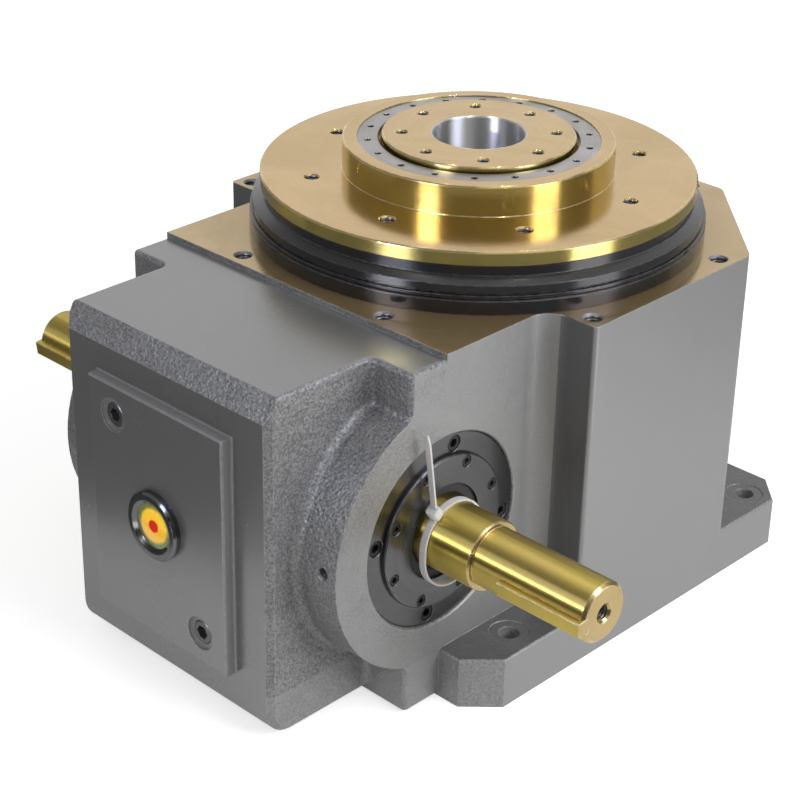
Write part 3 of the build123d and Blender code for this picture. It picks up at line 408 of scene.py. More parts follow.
class MillMarks(Effect):
    """Shallow overlapping arcs that a face mill leaves on a flat face."""

    name = "mill_marks"
    outputs = ("Height",)
    WAVE_SCALE = 22.0
    WIDTH_SCALE = 6.0
    FINE_SCALE = 700.0

    def fill(self, graph: Graph, given: Sockets) -> Sockets:
        """Build the group; see Effect.fill."""
        x, y, z = graph.split(given["Place"])
        across = graph.math("ADD", x, z)
        wave = graph.math("SINE", graph.scale(y, self.WAVE_SCALE))
        arc = graph.length(wave, graph.scale(across, self.WIDTH_SCALE))
        return {"Height": graph.noise(graph.combine(arc), self.FINE_SCALE, roughness=0.6)}


class Zone(Effect):
    """Mask of the faces that look along an axis and lie between two levels of it."""

    name = "zone"
    inputs = ("Along", "Facing", "Low", "High")
    outputs = ("Mask",)
    SQUARE = 0.94

    def fill(self, graph: Graph, given: Sockets) -> Sockets:
        """Build the group; see Effect.fill."""
        facing = graph.math("GREATER_THAN", given["Facing"], self.SQUARE)
        over = graph.math("GREATER_THAN", given["Along"], given["Low"])
        under = graph.math("LESS_THAN", given["Along"], given["High"])
        return {"Mask": graph.both(facing, over, under)}


class HoleRing(Effect):
    """Mask of the holes on one circle about the output axis."""

    name = "hole_ring"
    inputs = ("Place", "Pitch", "Step", "First", "Size")
    outputs = ("Mask",)

    def fill(self, graph: Graph, given: Sockets) -> Sockets:
        """Build the group; see Effect.fill."""
        x, y, _ = graph.split(given["Place"])
        radius = graph.length(x, y)
        angle = graph.math("SUBTRACT", graph.math("ARCTAN2", y, x), given["First"])
        half = graph.scale(given["Step"], 0.5)
        turn = graph.math("WRAP", angle, half, graph.scale(half, -1.0))
        across = graph.scale(radius, graph.math("SINE", turn))
        along = graph.scale(radius, graph.math("COSINE", turn))
        offset = graph.length(across, graph.math("SUBTRACT", along, given["Pitch"]))
        return {"Mask": graph.math("LESS_THAN", offset, given["Size"])}


@dataclass(frozen=True)
class HolePattern:
    """One circle of holes about the output axis.

    Attributes:
        pitch: Radius of the circle, in metres.
        count: Number of holes.
        first: Angle of the first hole, in degrees from +X.
        size: Radius of a hole, in metres.
    """

    pitch: float
    count: int
    first: float
    size: float

    def mask(self, graph: Graph, place: Socket) -> Socket:
        """Build the mask of the holes from object coordinates."""
        return HoleRing().use(graph, Place=place, Pitch=self.pitch, Size=self.size,
                              Step=2 * math.pi / self.count, First=math.radians(self.first))["Mask"]

    def frames(self, height: float) -> list[Matrix]:
        """Find the frames of the holes, with their mouths at a height and opening upwards."""
        turns = [math.radians(self.first + 360.0 * turn / self.count)
                 for turn in range(self.count)]
        return [Matrix.Translation((self.pitch * math.cos(turn), self.pitch * math.sin(turn),
                                    height)) for turn in turns]


FLANGE_HOLES = HolePattern(0.110, 8, 12.0, 0.0043)
DISC_HOLES = HolePattern(0.050, 8, 0.0, 0.00345)
PLATFORM_HOLES = HolePattern(0.1625, 8, 22.5, 0.0051)


@dataclass(frozen=True)
class Finish:
    """Base of the finishes.

    Attributes:
        name: Name of the material.
    """

    name: str

    def shade(self, graph: Graph, place: Socket, normal: Socket, shader: Node) -> None:
        """Build the finish.

        Args:
            graph: The material's tree.
            place: Object coordinates.
            normal: Normal in object coordinates.
            shader: The shader to feed.
        """
        raise NotImplementedError

    def build(self) -> bpy.types.Material:
        """Make the material.

        Returns:
            The material.
        """
        material = bpy.data.materials.new(self.name)
        graph = start_nodes(material)
        shader = graph.add("NodeBsdfPrincipled")
        graph.output(shader.outputs[0])
        coordinates = graph.add("NodeTexCoord")
        self.shade(graph, coordinates.outputs["Object"], coordinates.outputs["Normal"], shader)
        return material


@dataclass(frozen=True)
class TurnedMetal(Finish):
    """A turned metal with tool marks, a coloured film and brighter edges.

    Attributes:
        axis: Axis that it is turned about.
        wall: Colour of its walls.
        face: Colour of its faces.
        stain: Colour of the darker patches of the film.
        edge: Colour of its worn edges, paler as a painted highlight too.
        roughness: Roughness of its walls.
        polish: Roughness of its faces.
        streaks: Stretch of the highlights across the tool marks of its walls.
        marks: Depth of the tool marks.
        coat: Weight of the clear film of oil.
        metal: How metallic it is.
        holes: Holes whose walls are painted dark as shade.
        hole: Colour of their walls, a painted shade.
    """

    axis: Axis = Axis.OUTPUT
    wall: Colour = (0.5, 0.5, 0.5)
    face: Colour = (0.5, 0.5, 0.5)
    stain: Colour = (0.3, 0.3, 0.3)
    edge: Colour = (0.7, 0.7, 0.7)
    roughness: float = 0.25
    polish: float = 0.25
    streaks: float = 0.7
    marks: float = 0.15
    coat: float = 0.3
    metal: float = 1.0
    holes: tuple[HolePattern, ...] = ()
    hole: Colour = (0.030, 0.026, 0.020)

    STAINED, LINED = 0.55, 0.25
    SMUDGE_ROUGHNESS, MARK_ROUGHNESS = 0.05, 0.03
    FACE_STREAK_LOSS = 0.7
    MARK_DEPTH = 0.00006
    COAT_ROUGHNESS = 0.12

    def shade(self, graph: Graph, place: Socket, normal: Socket, shader: Node) -> None:
        """Build the finish; see Finish.shade."""
        where = TurnedPlace(self.axis).use(graph, Place=place)
        marks = ToolMarks().use(graph, Radius=where["Radius"], Along=where["Along"])
        smudge = Smudge().use(graph, Place=place)
        wear = EdgeWear().use(graph, Place=place)
        axes = graph.split(normal)
        flat = graph.math("ABSOLUTE", axes[2 if self.axis is Axis.OUTPUT else 0])
        facing = graph.remap(flat, 0.3, 0.85)
        colour = graph.mix(facing, self.wall, self.face)
        colour = graph.mix(graph.scale(smudge["Mask"], self.STAINED), colour, self.stain)
        colour = graph.mix(graph.scale(marks["Shade"], self.LINED), colour, self.stain)
        # Edges turn paler: partly wear, partly a painted highlight.
        colour = graph.mix(wear["Mask"], colour, self.edge)
        # The walls of the holes are painted nearly black as shade inside them.
        for pattern in self.holes:
            colour = graph.mix(pattern.mask(graph, place), colour, self.hole)
        rough = graph.ramp(facing, self.polish - self.roughness, self.roughness)
        rough = graph.ramp(smudge["Mask"], self.SMUDGE_ROUGHNESS, rough)
        rough = graph.ramp(marks["Shade"], self.MARK_ROUGHNESS, rough)
        stretch = graph.ramp(facing, -self.FACE_STREAK_LOSS * self.streaks, self.streaks)
        relief = graph.bump(marks["Height"], wear["Normal"], self.marks, self.MARK_DEPTH)
        tangent = graph.add("NodeTangent", direction_type="RADIAL", axis=self.axis.value)
        graph.feed(shader, Base_Color=colour, Roughness=rough, Metallic=self.metal,
                   Anisotropic=stretch, Anisotropic_Rotation=0.25, Tangent=tangent.outputs[0],
                   Coat_Weight=self.coat, Coat_Roughness=self.COAT_ROUGHNESS, Normal=relief)


@dataclass(frozen=True)
class ColumnFinish(TurnedMetal):
    """The turned metal of the column, with a paler and duller bore.

    Attributes:
        bore: Colour of the bore.
        bore_radius: Radius below which the bore's colour holds, in metres.
        bore_roughness: Roughness of the bore.
        bore_metal: How metallic the bore is.
        bore_streaks: Stretch of the bore's highlights.
    """

    bore: Colour = (0.60, 0.60, 0.59)
    bore_radius: float = 0.0312
    bore_roughness: float = 0.38
    bore_metal: float = 0.95
    bore_streaks: float = 1.0

    def shade(self, graph: Graph, place: Socket, normal: Socket, shader: Node) -> None:
        """Build the finish; see Finish.shade."""
        super().shade(graph, place, normal, shader)
        where = TurnedPlace(self.axis).use(graph, Place=place)
        inside = graph.math("LESS_THAN", where["Radius"], self.bore_radius)
        changes = {"Base Color": self.bore, "Roughness": self.bore_roughness,
                   "Metallic": self.bore_metal, "Anisotropic": self.bore_streaks}
        for name, value in changes.items():
            socket = shader.inputs[name]
            before = socket.links[0].from_socket if socket.links else socket.default_value
            if name == "Base Color":
                mixed = graph.mix(inside, before, value)
            else:
                mixed = graph.remap(inside, 0.0, 1.0, before, value)
            graph.join(socket, mixed)


class Way(Enum):
    """Directions that the faces of the casting look in."""

    UP = "+Z"
    SIDE = "+X and -X"
    FRONT = "-Y"


# The faces of the casting, each with the way it looks and the two levels that it lies between.
LEVELS = {
    "platform": (Way.UP, 0.2375, 0.2385),
    "lid": (Way.UP, 0.2335, 0.2355),
    "ledge": (Way.UP, 0.0300, 0.0375),
    "flank": (Way.SIDE, 0.1600, 0.1620),
    "boss": (Way.SIDE, 0.1230, 0.1250),
    "pad": (Way.FRONT, 0.2780, 0.2800),
    "panel": (Way.FRONT, 0.2700, 0.2720),
    "step": (Way.FRONT, 0.0710, 0.0730),
}
# Limits of the milled sides of the block, of the paler soles and of the rim of the pad.
BLOCK_FRONT, BLOCK_BACK = -0.1615, 0.05
BLOCK_FOOT, BLOCK_SIDE = 0.0365, 0.1235
SOLE_TOP = 0.0345
RIM_FRONT = -0.2712


@dataclass(frozen=True)
class CastingFinish(Finish):
    """Grey iron, as cast where the tool never came and milled on its working faces.

    Attributes:
        skin: Colour of the cast skin.
        hollow: Colour of the skin between its grains.
        sole: Colour of the paler skin round the feet.
        milled: Colour of the dry milled faces.
        oiled: Colour of the milled faces under a film of clear oil.
        shaded: Colour of the step beside the wings, darker as painted shade.
        ledge: Colour of the tops of the feet, darkened as a painted shadow.
        film: Colour of the film of oil on the platform.
        film_dark: Colour of the film where oil has pooled, and of the painted reflection of the
            dark ring.
        edge: Colour of its worn edges, paler as a painted highlight too.
    """

    skin: Colour = (0.31, 0.31, 0.312)
    hollow: Colour = (0.15, 0.15, 0.152)
    sole: Colour = (0.36, 0.36, 0.362)
    milled: Colour = (0.29, 0.29, 0.29)
    oiled: Colour = (0.27, 0.27, 0.27)
    shaded: Colour = (0.14, 0.14, 0.143)
    ledge: Colour = (0.13, 0.13, 0.132)
    film: Colour = (0.56, 0.42, 0.23)
    film_dark: Colour = (0.30, 0.20, 0.08)
    edge: Colour = (0.66, 0.66, 0.66)

    # Values of the bare skin, and what each mask adds to them.
    ROUGHNESS, SMOOTHER = 0.48, {"smooth": -0.10, "wet": -0.14, "platform": -0.24}
    METAL, SHINIER = 0.3, {"platform": 0.40, "wet": 0.30}
    SMUDGE_ROUGHNESS = 0.04
    # Shares of the masks that hold only in part.
    SMOOTHED, DUSTED, PITTED, STREAKED, WORN, SMUDGED = 0.85, 0.45, 0.5, 0.12, 0.6, 0.7
    # Radii between which the film darkens round the rings as a painted reflection of the dark ring,
    # and how much of it there is.
    POOL_NEAR, POOL_FAR = 0.150, 0.190
    POOLED_NEAR, POOLED = 0.5, 0.45
    # Strength and depth in metres of both reliefs, and what the tool leaves of the first.
    SKIN_RELIEF, MILL_RELIEF = (0.75, 0.0009), (0.10, 0.00005)
    MILLED_SKIN = 0.04

    def masks(self, graph: Graph, place: Socket, normal: Socket, patchy: Socket) -> Sockets:
        """Build the masks of the casting's faces.

        Args:
            graph: The material's tree.
            place: Object coordinates.
            normal: Normal in object coordinates.
            patchy: Share of the boss faces that the tool has reached.

        Returns:
            The masks of the levels, of the sole, of all oiled and of all smooth faces.
        """
        x, y, z = graph.split(place)
        turn_x, turn_y, turn_z = graph.split(normal)
        wide = graph.math("ABSOLUTE", x)
        ways = {Way.UP: (z, turn_z), Way.SIDE: (wide, graph.math("ABSOLUTE", turn_x)),
                Way.FRONT: (graph.scale(y, -1.0), graph.scale(turn_y, -1.0))}
        on = {}
        for name, (way, low, high) in LEVELS.items():
            along, facing = ways[way]
            on[name] = Zone().use(graph, Along=along, Facing=facing, Low=low, High=high)["Mask"]
        block = graph.both(graph.math("GREATER_THAN", y, BLOCK_FRONT),
                           graph.math("LESS_THAN", y, BLOCK_BACK),
                           graph.math("GREATER_THAN", z, BLOCK_FOOT),
                           graph.math("GREATER_THAN", wide, BLOCK_SIDE))
        rim = graph.math("LESS_THAN", y, RIM_FRONT)
        partly = graph.scale(graph.either(block, on["ledge"], rim), self.SMOOTHED)
        on["smooth"] = graph.either(
            on["platform"], on["lid"], on["flank"], graph.both(on["boss"], patchy), on["pad"],
            on["panel"], on["step"], partly)
        on["wet"] = graph.either(on["lid"], on["pad"], on["panel"])
        # The skin below the tops of the feet is paler.
        on["sole"] = graph.scale(graph.math("LESS_THAN", z, SOLE_TOP), self.DUSTED)
        return on

    def colour(self, graph: Graph, place: Socket, on: Sockets,
               cast: Sockets, smudge: Sockets) -> Socket:
        """Build the colour without its worn edges.

        Args:
            graph: The material's tree.
            place: Object coordinates.
            on: The masks of the faces.
            cast: Outputs of the cast skin.
            smudge: Outputs of the smudges.

        Returns:
            The colour.
        """
        skin = graph.mix(cast["Shade"], self.hollow, self.skin)
        skin = graph.mix(graph.scale(cast["Pits"], self.PITTED), skin, self.hollow)
        skin = graph.mix(on["sole"], skin, self.sole)
        clean = graph.mix(on["wet"], self.milled, self.oiled)
        # The step beside the wings takes a darker colour as painted shade.
        clean = graph.mix(on["step"], clean, self.shaded)
        # The tops of the feet are darkened as a painted shadow.
        clean = graph.mix(on["ledge"], clean, self.ledge)
        clean = graph.mix(graph.scale(smudge["Streak"], self.STREAKED), clean, self.skin)
        x, y, _ = graph.split(place)
        # Near the rings the film is darkened as a painted reflection of the dark ring; the smudges
        # add real pools of oil.
        near = graph.remap(graph.length(x, y), self.POOL_NEAR, self.POOL_FAR,
                           self.POOLED_NEAR, 0.0)
        pooled = graph.either(near, graph.scale(smudge["Mask"], self.POOLED))
        film = graph.mix(pooled, self.film, self.film_dark)
        return graph.mix(on["platform"], graph.mix(on["smooth"], skin, clean), film)

    def shade(self, graph: Graph, place: Socket, normal: Socket, shader: Node) -> None:
        """Build the finish; see Finish.shade."""
        cast = CastSkin().use(graph, Place=place)
        smudge = Smudge().use(graph, Place=place)
        wear = EdgeWear().use(graph, Place=place)
        mill = MillMarks().use(graph, Place=place)
        patchy = graph.math("SUBTRACT", 1.0, graph.scale(smudge["Mask"], self.SMUDGED))
        on = self.masks(graph, place, normal, patchy)
        colour = self.colour(graph, place, on, cast, smudge)
        # Edges turn paler: partly wear, partly a painted highlight.
        colour = graph.mix(graph.scale(wear["Mask"], self.WORN), colour, self.edge)
        rough: Any = self.ROUGHNESS
        for name, change in self.SMOOTHER.items():
            rough = graph.ramp(on[name], change, rough)
        rough = graph.ramp(smudge["Mask"], self.SMUDGE_ROUGHNESS, rough)
        metal: Any = self.METAL
        for name, change in self.SHINIER.items():
            metal = graph.ramp(on[name], change, metal)
        kept = graph.remap(on["smooth"], 0.0, 1.0, 1.0, self.MILLED_SKIN)
        relief = graph.bump(graph.scale(cast["Height"], kept), wear["Normal"], *self.SKIN_RELIEF)
        fine = graph.bump(mill["Height"], relief, *self.MILL_RELIEF)
        graph.feed(shader, Base_Color=colour, Roughness=rough, Metallic=metal, Normal=fine)


@dataclass(frozen=True)
class PlainFinish(Finish):
    """A moulded or plated surface with a fine grain and a little handling wear.

    Attributes:
        colour: Its colour.
        stain: Colour of its dirt.
        roughness: Its roughness.
        metal: How metallic it is.
        grain: Scale of its grain.
        relief: Depth of its grain.
        glow: Share of light that passes under its surface.
    """

    colour: Colour = (0.5, 0.5, 0.5)
    stain: Colour = (0.3, 0.3, 0.3)
    roughness: float = 0.5
    metal: float = 0.0
    grain: float = 900.0
    relief: float = 0.1
    glow: float = 0.0

    SMUDGE_ROUGHNESS = 0.08
    GRAIN_DEPTH = 0.0001
    GLOW_DEPTH = 0.002

    def shade(self, graph: Graph, place: Socket, normal: Socket, shader: Node) -> None:
        """Build the finish; see Finish.shade."""
        grain = graph.noise(place, self.grain, detail=3.0, roughness=0.6)
        smudge = Smudge().use(graph, Place=place)
        wear = EdgeWear().use(graph, Place=place)
        dirt = graph.scale(smudge["Mask"], graph.remap(grain, 0.4, 0.6, 0.15, 0.5))
        rough = graph.ramp(smudge["Mask"], self.SMUDGE_ROUGHNESS, self.roughness)
        relief = graph.bump(grain, wear["Normal"], self.relief, self.GRAIN_DEPTH)
        graph.feed(shader, Base_Color=graph.mix(dirt, self.colour, self.stain), Roughness=rough,
                   Metallic=self.metal, Subsurface_Weight=self.glow,
                   Subsurface_Scale=self.GLOW_DEPTH, Normal=relief)


@dataclass(frozen=True)
class GlassFinish(Finish):
    """Clear moulded glass with a faint haze that lets light through to the reflector.

    Attributes:
        colour: Its colour.
        index: Its index of refraction.
    """

    colour: Colour = (0.97, 0.98, 0.97)
    index: float = 1.47

    HAZE_SCALE = 160.0
    HAZE_ROUGHNESS = (0.01, 0.08)

    def shade(self, graph: Graph, place: Socket, normal: Socket, shader: Node) -> None:
        """Build the finish; see Finish.shade."""
        haze = graph.noise(place, self.HAZE_SCALE, detail=3.0, roughness=0.6)
        graph.feed(shader, Base_Color=self.colour, IOR=self.index, Transmission_Weight=1.0,
                   Roughness=graph.remap(haze, 0.4, 0.7, *self.HAZE_ROUGHNESS))
        clear = graph.add("NodeBsdfTransparent")
        shadow = graph.add("NodeLightPath").outputs["Is Shadow Ray"]
        either = graph.feed(graph.add("NodeMixShader"), shadow, shader.outputs[0],
                            clear.outputs[0])
        out = graph.add("NodeOutputMaterial", is_active_output=True)
        graph.join(out.inputs["Surface"], either.outputs[0])


@dataclass(frozen=True)
class ReflectorFinish(Finish):
    """Yellow reflector of the sight glass with its red mark and the oil in front of it.

    Attributes:
        middle: Middle of the disc.
        yellow: Colour of the disc.
        oil: Colour of the oil in its lower half.
        rim: Colour of its rim, as painted shade.
        red: Colour of the mark.
        glow: Strength of a painted glow, standing in for the light that the glass keeps from it.
    """

    middle: tuple[float, float, float] = (0.0, -0.279, 0.120)
    yellow: Colour = (0.85, 0.66, 0.10)
    oil: Colour = (0.72, 0.46, 0.06)
    rim: Colour = (0.30, 0.32, 0.12)
    red: Colour = (0.70, 0.05, 0.02)
    glow: float = 0.3

    MARK_RADII = (0.0040, 0.0047)
    RIM_RADII = (0.0105, 0.0125)
    OIL_LEVELS = (0.0015, -0.0015)
    RIPPLE_SCALE, RIPPLE = 420.0, 0.0012
    OILED = 0.3

    def shade(self, graph: Graph, place: Socket, normal: Socket, shader: Node) -> None:
        """Build the finish; see Finish.shade."""
        x, _, z = graph.split(graph.vector("SUBTRACT", place, Vector(self.middle)))
        ripple = graph.noise(place, self.RIPPLE_SCALE)
        edge = graph.ramp(ripple, self.RIPPLE, graph.length(x, z))
        mark = graph.remap(edge, *self.MARK_RADII, 1.0, 0.0)
        rim = graph.remap(edge, *self.RIM_RADII)
        oil = graph.remap(z, *self.OIL_LEVELS)
        colour = graph.mix(graph.scale(oil, self.OILED), self.yellow, self.oil)
        # The outer ring of the disc is darkened as painted shade.
        colour = graph.mix(rim, colour, self.rim)
        colour = graph.mix(mark, colour, self.red)
        # The disc glows with its own colour as painted light, though it is no lamp.
        graph.feed(shader, Base_Color=colour, Roughness=0.35, Emission_Color=colour,
                   Emission_Strength=self.glow)


class Palette:
    """All finishes of the scene, each built once."""

    def __init__(self) -> None:
        """Describe the finishes."""
        self.made: dict[str, bpy.types.Material] = {}
        gold = {"wall": (0.62, 0.52, 0.17), "face": (0.60, 0.425, 0.22),
                "stain": (0.44, 0.31, 0.12), "edge": (0.88, 0.80, 0.58), "roughness": 0.17,
                "polish": 0.12, "streaks": 0.8, "coat": 0.0}
        shaft = {**gold, "wall": (0.56, 0.44, 0.09), "face": (0.56, 0.42, 0.20),
                 "roughness": 0.30, "polish": 0.2, "streaks": 0.97, "marks": 0.05}
        steel = {"wall": (0.52, 0.52, 0.51), "face": (0.50, 0.50, 0.49),
                 "stain": (0.34, 0.33, 0.31), "edge": (0.75, 0.75, 0.74), "roughness": 0.26}
        dark = {"wall": (0.12, 0.118, 0.12), "face": (0.12, 0.118, 0.12),
                "stain": (0.075, 0.073, 0.075), "edge": (0.32, 0.32, 0.33), "roughness": 0.34,
                "streaks": 0.4}
        black = {"wall": (0.018, 0.018, 0.020), "face": (0.018, 0.018, 0.020),
                 "stain": (0.028, 0.027, 0.029), "edge": (0.16, 0.16, 0.17), "roughness": 0.18,
                 "streaks": 0.3, "coat": 0.3, "metal": 0.3}
        grey = {"wall": (0.17, 0.16, 0.15), "face": (0.42, 0.40, 0.39),
                "stain": (0.16, 0.15, 0.14), "edge": (0.5, 0.48, 0.46), "roughness": 0.32,
                "polish": 0.3}
        described: tuple[Finish, ...] = (
            CastingFinish("casting"),
            TurnedMetal("gold_output", **gold, holes=(FLANGE_HOLES,)),
            TurnedMetal("gold_input", axis=Axis.INPUT, **shaft),
            TurnedMetal("steel_output", **steel),
            TurnedMetal("steel_input", axis=Axis.INPUT, **steel),
            TurnedMetal("black_rings", **black),
            ColumnFinish("column", **gold, holes=(DISC_HOLES,)),
            TurnedMetal("grey_ring", **grey),
            TurnedMetal("dark_caps", axis=Axis.INPUT, **dark),
            PlainFinish("screws", colour=(0.030, 0.030, 0.032), stain=(0.09, 0.085, 0.08),
                        roughness=0.34, metal=0.8),
            PlainFinish("plug_steel", colour=(0.17, 0.17, 0.17), stain=(0.09, 0.085, 0.08),
                        roughness=0.36, metal=0.9),
            PlainFinish("rubber", colour=(0.016, 0.016, 0.017), stain=(0.04, 0.04, 0.038),
                        roughness=0.55),
            PlainFinish("chrome", colour=(0.17, 0.17, 0.175), stain=(0.12, 0.12, 0.115),
                        roughness=0.12, metal=1.0, relief=0.02),
            GlassFinish("glass"),
            ReflectorFinish("reflector"),
            PlainFinish("nylon", colour=(0.80, 0.80, 0.79), stain=(0.62, 0.61, 0.58),
                        roughness=0.38, glow=0.2, relief=0.05),
        )
        self.finishes = {finish.name: finish for finish in described}

    def get(self, name: str) -> bpy.types.Material:
        """Build a finish, or find it.

        Args:
            name: Name of the finish.

        Returns:
            The material.
        """
        if name not in self.made:
            self.made[name] = self.finishes[name].build()
        return self.made[name]


def new_object(name: str, mesh: bmesh.types.BMesh) -> bpy.types.Object:
    """Turn a mesh into an object of the scene.

    Args:
        name: Name of the object.
        mesh: Its shape in metres, which is freed.

    Returns:
        The object.
    """
    data = bpy.data.meshes.new(name)
    mesh.to_mesh(data)
    mesh.free()
    made = bpy.data.objects.new(name, data)
    bpy.context.scene.collection.objects.link(made)
    return made


@dataclass(frozen=True)
class Tap:
    """A size of tapped hole.

    Attributes:
        radius: Radius of the drilled hole, in metres.
        pitch: Pitch of the thread, in metres.
    """

    radius: float
    pitch: float

    AROUND = 24
    # Start below the mouth and reach into the wall, in metres.
    START, SUNK = 0.0014, 0.00002
    # Height of the ridge, and half of its width at the root and the crest, as shares of the pitch.
    HEIGHT, ROOT, CREST = 0.42, 0.42, 0.08

    def cut(self, mesh: bmesh.types.BMesh, place: Matrix, depth: float) -> None:
        """Add the ridge of the thread to a mesh.

        Args:
            mesh: The mesh.
            place: Frame of the hole, with +Z out of it and its mouth at the origin.
            depth: Length of the thread, in metres.
        """
        count = int(self.AROUND * depth / self.pitch)
        root = self.radius + self.SUNK
        rows = []
        for step in range(count + 1):
            angle = 2 * math.pi * step / self.AROUND
            level = -self.START - self.pitch * step / self.AROUND
            fade = min(1.0, step / self.AROUND, (count - step) / self.AROUND + 0.05)
            crest = self.radius - self.HEIGHT * self.pitch * fade
            row = []
            for reach, rise in ((root, self.ROOT), (crest, self.CREST), (crest, -self.CREST),
                                (root, -self.ROOT)):
                spot = Vector((reach * math.cos(angle), reach * math.sin(angle),
                               level + rise * self.pitch))
                row.append(mesh.verts.new(place @ spot))
            rows.append(row)
        for first, second in zip(rows, rows[1:]):
            for low in range(3):
                mesh.faces.new((first[low], second[low], second[low + 1], first[low + 1]))


# Sizes of the threads, and where their holes open and how deep they are, in metres.
M8 = Tap(0.0034, 0.00125)
M10 = Tap(0.00425, 0.0015)
M12 = Tap(0.0051, 0.00175)
PLATFORM_TOP, PLATFORM_DEPTH = 0.238, 0.016
FLANGE_TOP, FLANGE_DEPTH = 0.276, 0.0075
DISC_TOP, DISC_DEPTH = 0.2986, 0.010
BOSS_HOLE, BOSS_DEPTH = (0.113, -0.250, 0.124), 0.010
SHAFT_END, SHAFT_DEPTH = 0.2475, 0.018


@dataclass
class SubAssembly:
    """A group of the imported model's nodes, with the finish of each.

    Attributes:
        palette: The finishes.
        nodes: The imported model's objects by name.
        finishes: Finish of each node.
    """

    palette: Palette
    nodes: dict[str, bpy.types.Object]
    finishes: dict[str, str] = field(default_factory=dict)

    def coat(self, target: bpy.types.Object, finish: str) -> None:
        """Give an object one finish."""
        target.data.materials.clear()
        target.data.materials.append(self.palette.get(finish))

    def dress(self) -> None:
        """Give every node of the group its finish, then add the group's own pieces."""
        for name, finish in self.finishes.items():
            self.coat(self.nodes[name], finish)
        self.details()

    def details(self) -> None:
        """Add the group's own pieces."""

    def threads(self, name: str, body: str, holes: Iterable[tuple[Matrix, Tap, float]]) -> None:
        """Add the threads of tapped holes as one new piece.

        Args:
            name: Name of the piece.
            body: Body that it moves with.
            holes: Frame, size and depth of each hole.
        """
        mesh = bmesh.new()
        for place, tap, depth in holes:
            tap.cut(mesh, place, depth)
        made = new_object(name, mesh)
        for polygon in made.data.polygons:
            polygon.use_smooth = True
        self.coat(made, "plug_steel")
        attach(made, body)


@dataclass
class Casting(SubAssembly):
    """The cast housing with its tapped holes."""

    finishes: dict[str, str] = field(default_factory=lambda: {
        "housing": "casting", "base_cover": "casting", "base_cover_screws": "screws"})

    def details(self) -> None:
        """Add the threads of the tapped holes in the platform and the boss flank."""
        holes = [(place, M12, PLATFORM_DEPTH) for place in PLATFORM_HOLES.frames(PLATFORM_TOP)]
        flank = Matrix.Translation(BOSS_HOLE) @ Matrix.Rotation(math.pi / 2, 4, "X")
        self.threads("casting_threads", "casing", [*holes, (flank, M8, BOSS_DEPTH)])


@dataclass
class OutputTable(SubAssembly):
    """The turning flange, its hub, its cover ring and the dust ring."""

    finishes: dict[str, str] = field(default_factory=lambda: {
        "output_flange": "gold_output", "hub_cover_ring": "grey_ring", "ring_screws": "screws",
        "rotor_screws": "screws", "seal_ring": "black_rings", "hub_seal": "rubber"})

    def details(self) -> None:
        """Add the threads of the flange's tapped holes."""
        holes = [(place, M10, FLANGE_DEPTH) for place in FLANGE_HOLES.frames(FLANGE_TOP)]
        self.threads("flange_threads", "output", holes)


@dataclass
class FixedRings(SubAssembly):
    """The fixed ring under the flange and its seal."""

    finishes: dict[str, str] = field(default_factory=lambda: {
        "bearing_retainer": "black_rings", "retainer_screws": "screws", "output_seal": "rubber"})


@dataclass
class FixedColumn(SubAssembly):
    """The hollow column with its drilled disc."""

    finishes: dict[str, str] = field(default_factory=lambda: {
        "centre_column": "column", "column_nut": "black_rings"})

    def details(self) -> None:
        """Add the threads of the disc's tapped holes."""
        holes = [(place, M8, DISC_DEPTH) for place in DISC_HOLES.frames(DISC_TOP)]
        self.threads("disc_threads", "casing", holes)


@dataclass
class InputDrive(SubAssembly):
    """The input shaft with its keys and cam."""

    finishes: dict[str, str] = field(default_factory=lambda: {
        "input_shaft": "gold_input", "front_shaft_key": "gold_input",
        "rear_shaft_key": "gold_input", "indexing_cam": "steel_input", "cam_key": "steel_input",
        "front_cam_spacer": "steel_input", "rear_cam_spacer": "steel_input"})

    def details(self) -> None:
        """Add the threads of the two centre holes."""
        holes = []
        for side in (1.0, -1.0):
            end = Matrix.Translation((side * SHAFT_END, INPUT_AXIS.y, INPUT_AXIS.z))
            out = Matrix.Rotation(side * math.pi / 2, 4, "Y")
            holes.append((end @ out, M10, SHAFT_DEPTH))
        self.threads("shaft_threads", "input", holes)


@dataclass
class BearingCaps(SubAssembly):
    """The input bearings with their cartridges, covers and seals."""

    def __post_init__(self) -> None:
        """List both ends."""
        kinds = {
            "cartridge": "dark_caps", "bearing_cover": "dark_caps", "cartridge_screws": "screws",
            "cover_screws": "screws", "shaft_seal": "rubber", "bearing_cone": "steel_input",
            "bearing_cup": "steel_input", "bearing_rollers": "steel_input"}
        for end in ("front", "rear"):
            for kind, finish in kinds.items():
                self.finishes[f"{end}_{kind}"] = finish


@dataclass
class FrontPanel(SubAssembly):
    """The plugs and the sight glass of the front pad."""

    finishes: dict[str, str] = field(default_factory=lambda: {
        "filler_plug": "plug_steel", "drain_plug": "plug_steel", "sight_glass_body": "chrome",
        "sight_glass_lens": "glass", "sight_glass_reflector": "reflector"})


@dataclass
class PackingTie(SubAssembly):
    """The nylon tie on the shaft."""

    finishes: dict[str, str] = field(default_factory=lambda: {"cable_tie": "nylon"})


@dataclass
class Internals(SubAssembly):
    """The rotor, its followers and the two output bearings."""

    def __post_init__(self) -> None:
        """List the inner pieces."""
        names = ["rotor", "follower_studs", "follower_washers", "output_bearing_outer_race",
                 "output_bearing_inner_race", "output_bearing_rollers", "lower_bearing_outer_race",
                 "lower_bearing_inner_race", "lower_bearing_rollers"]
        names += [f"follower_roller_{turn + 1}" for turn in range(FOLLOWERS)]
        self.finishes = {name: "steel_output" for name in names}


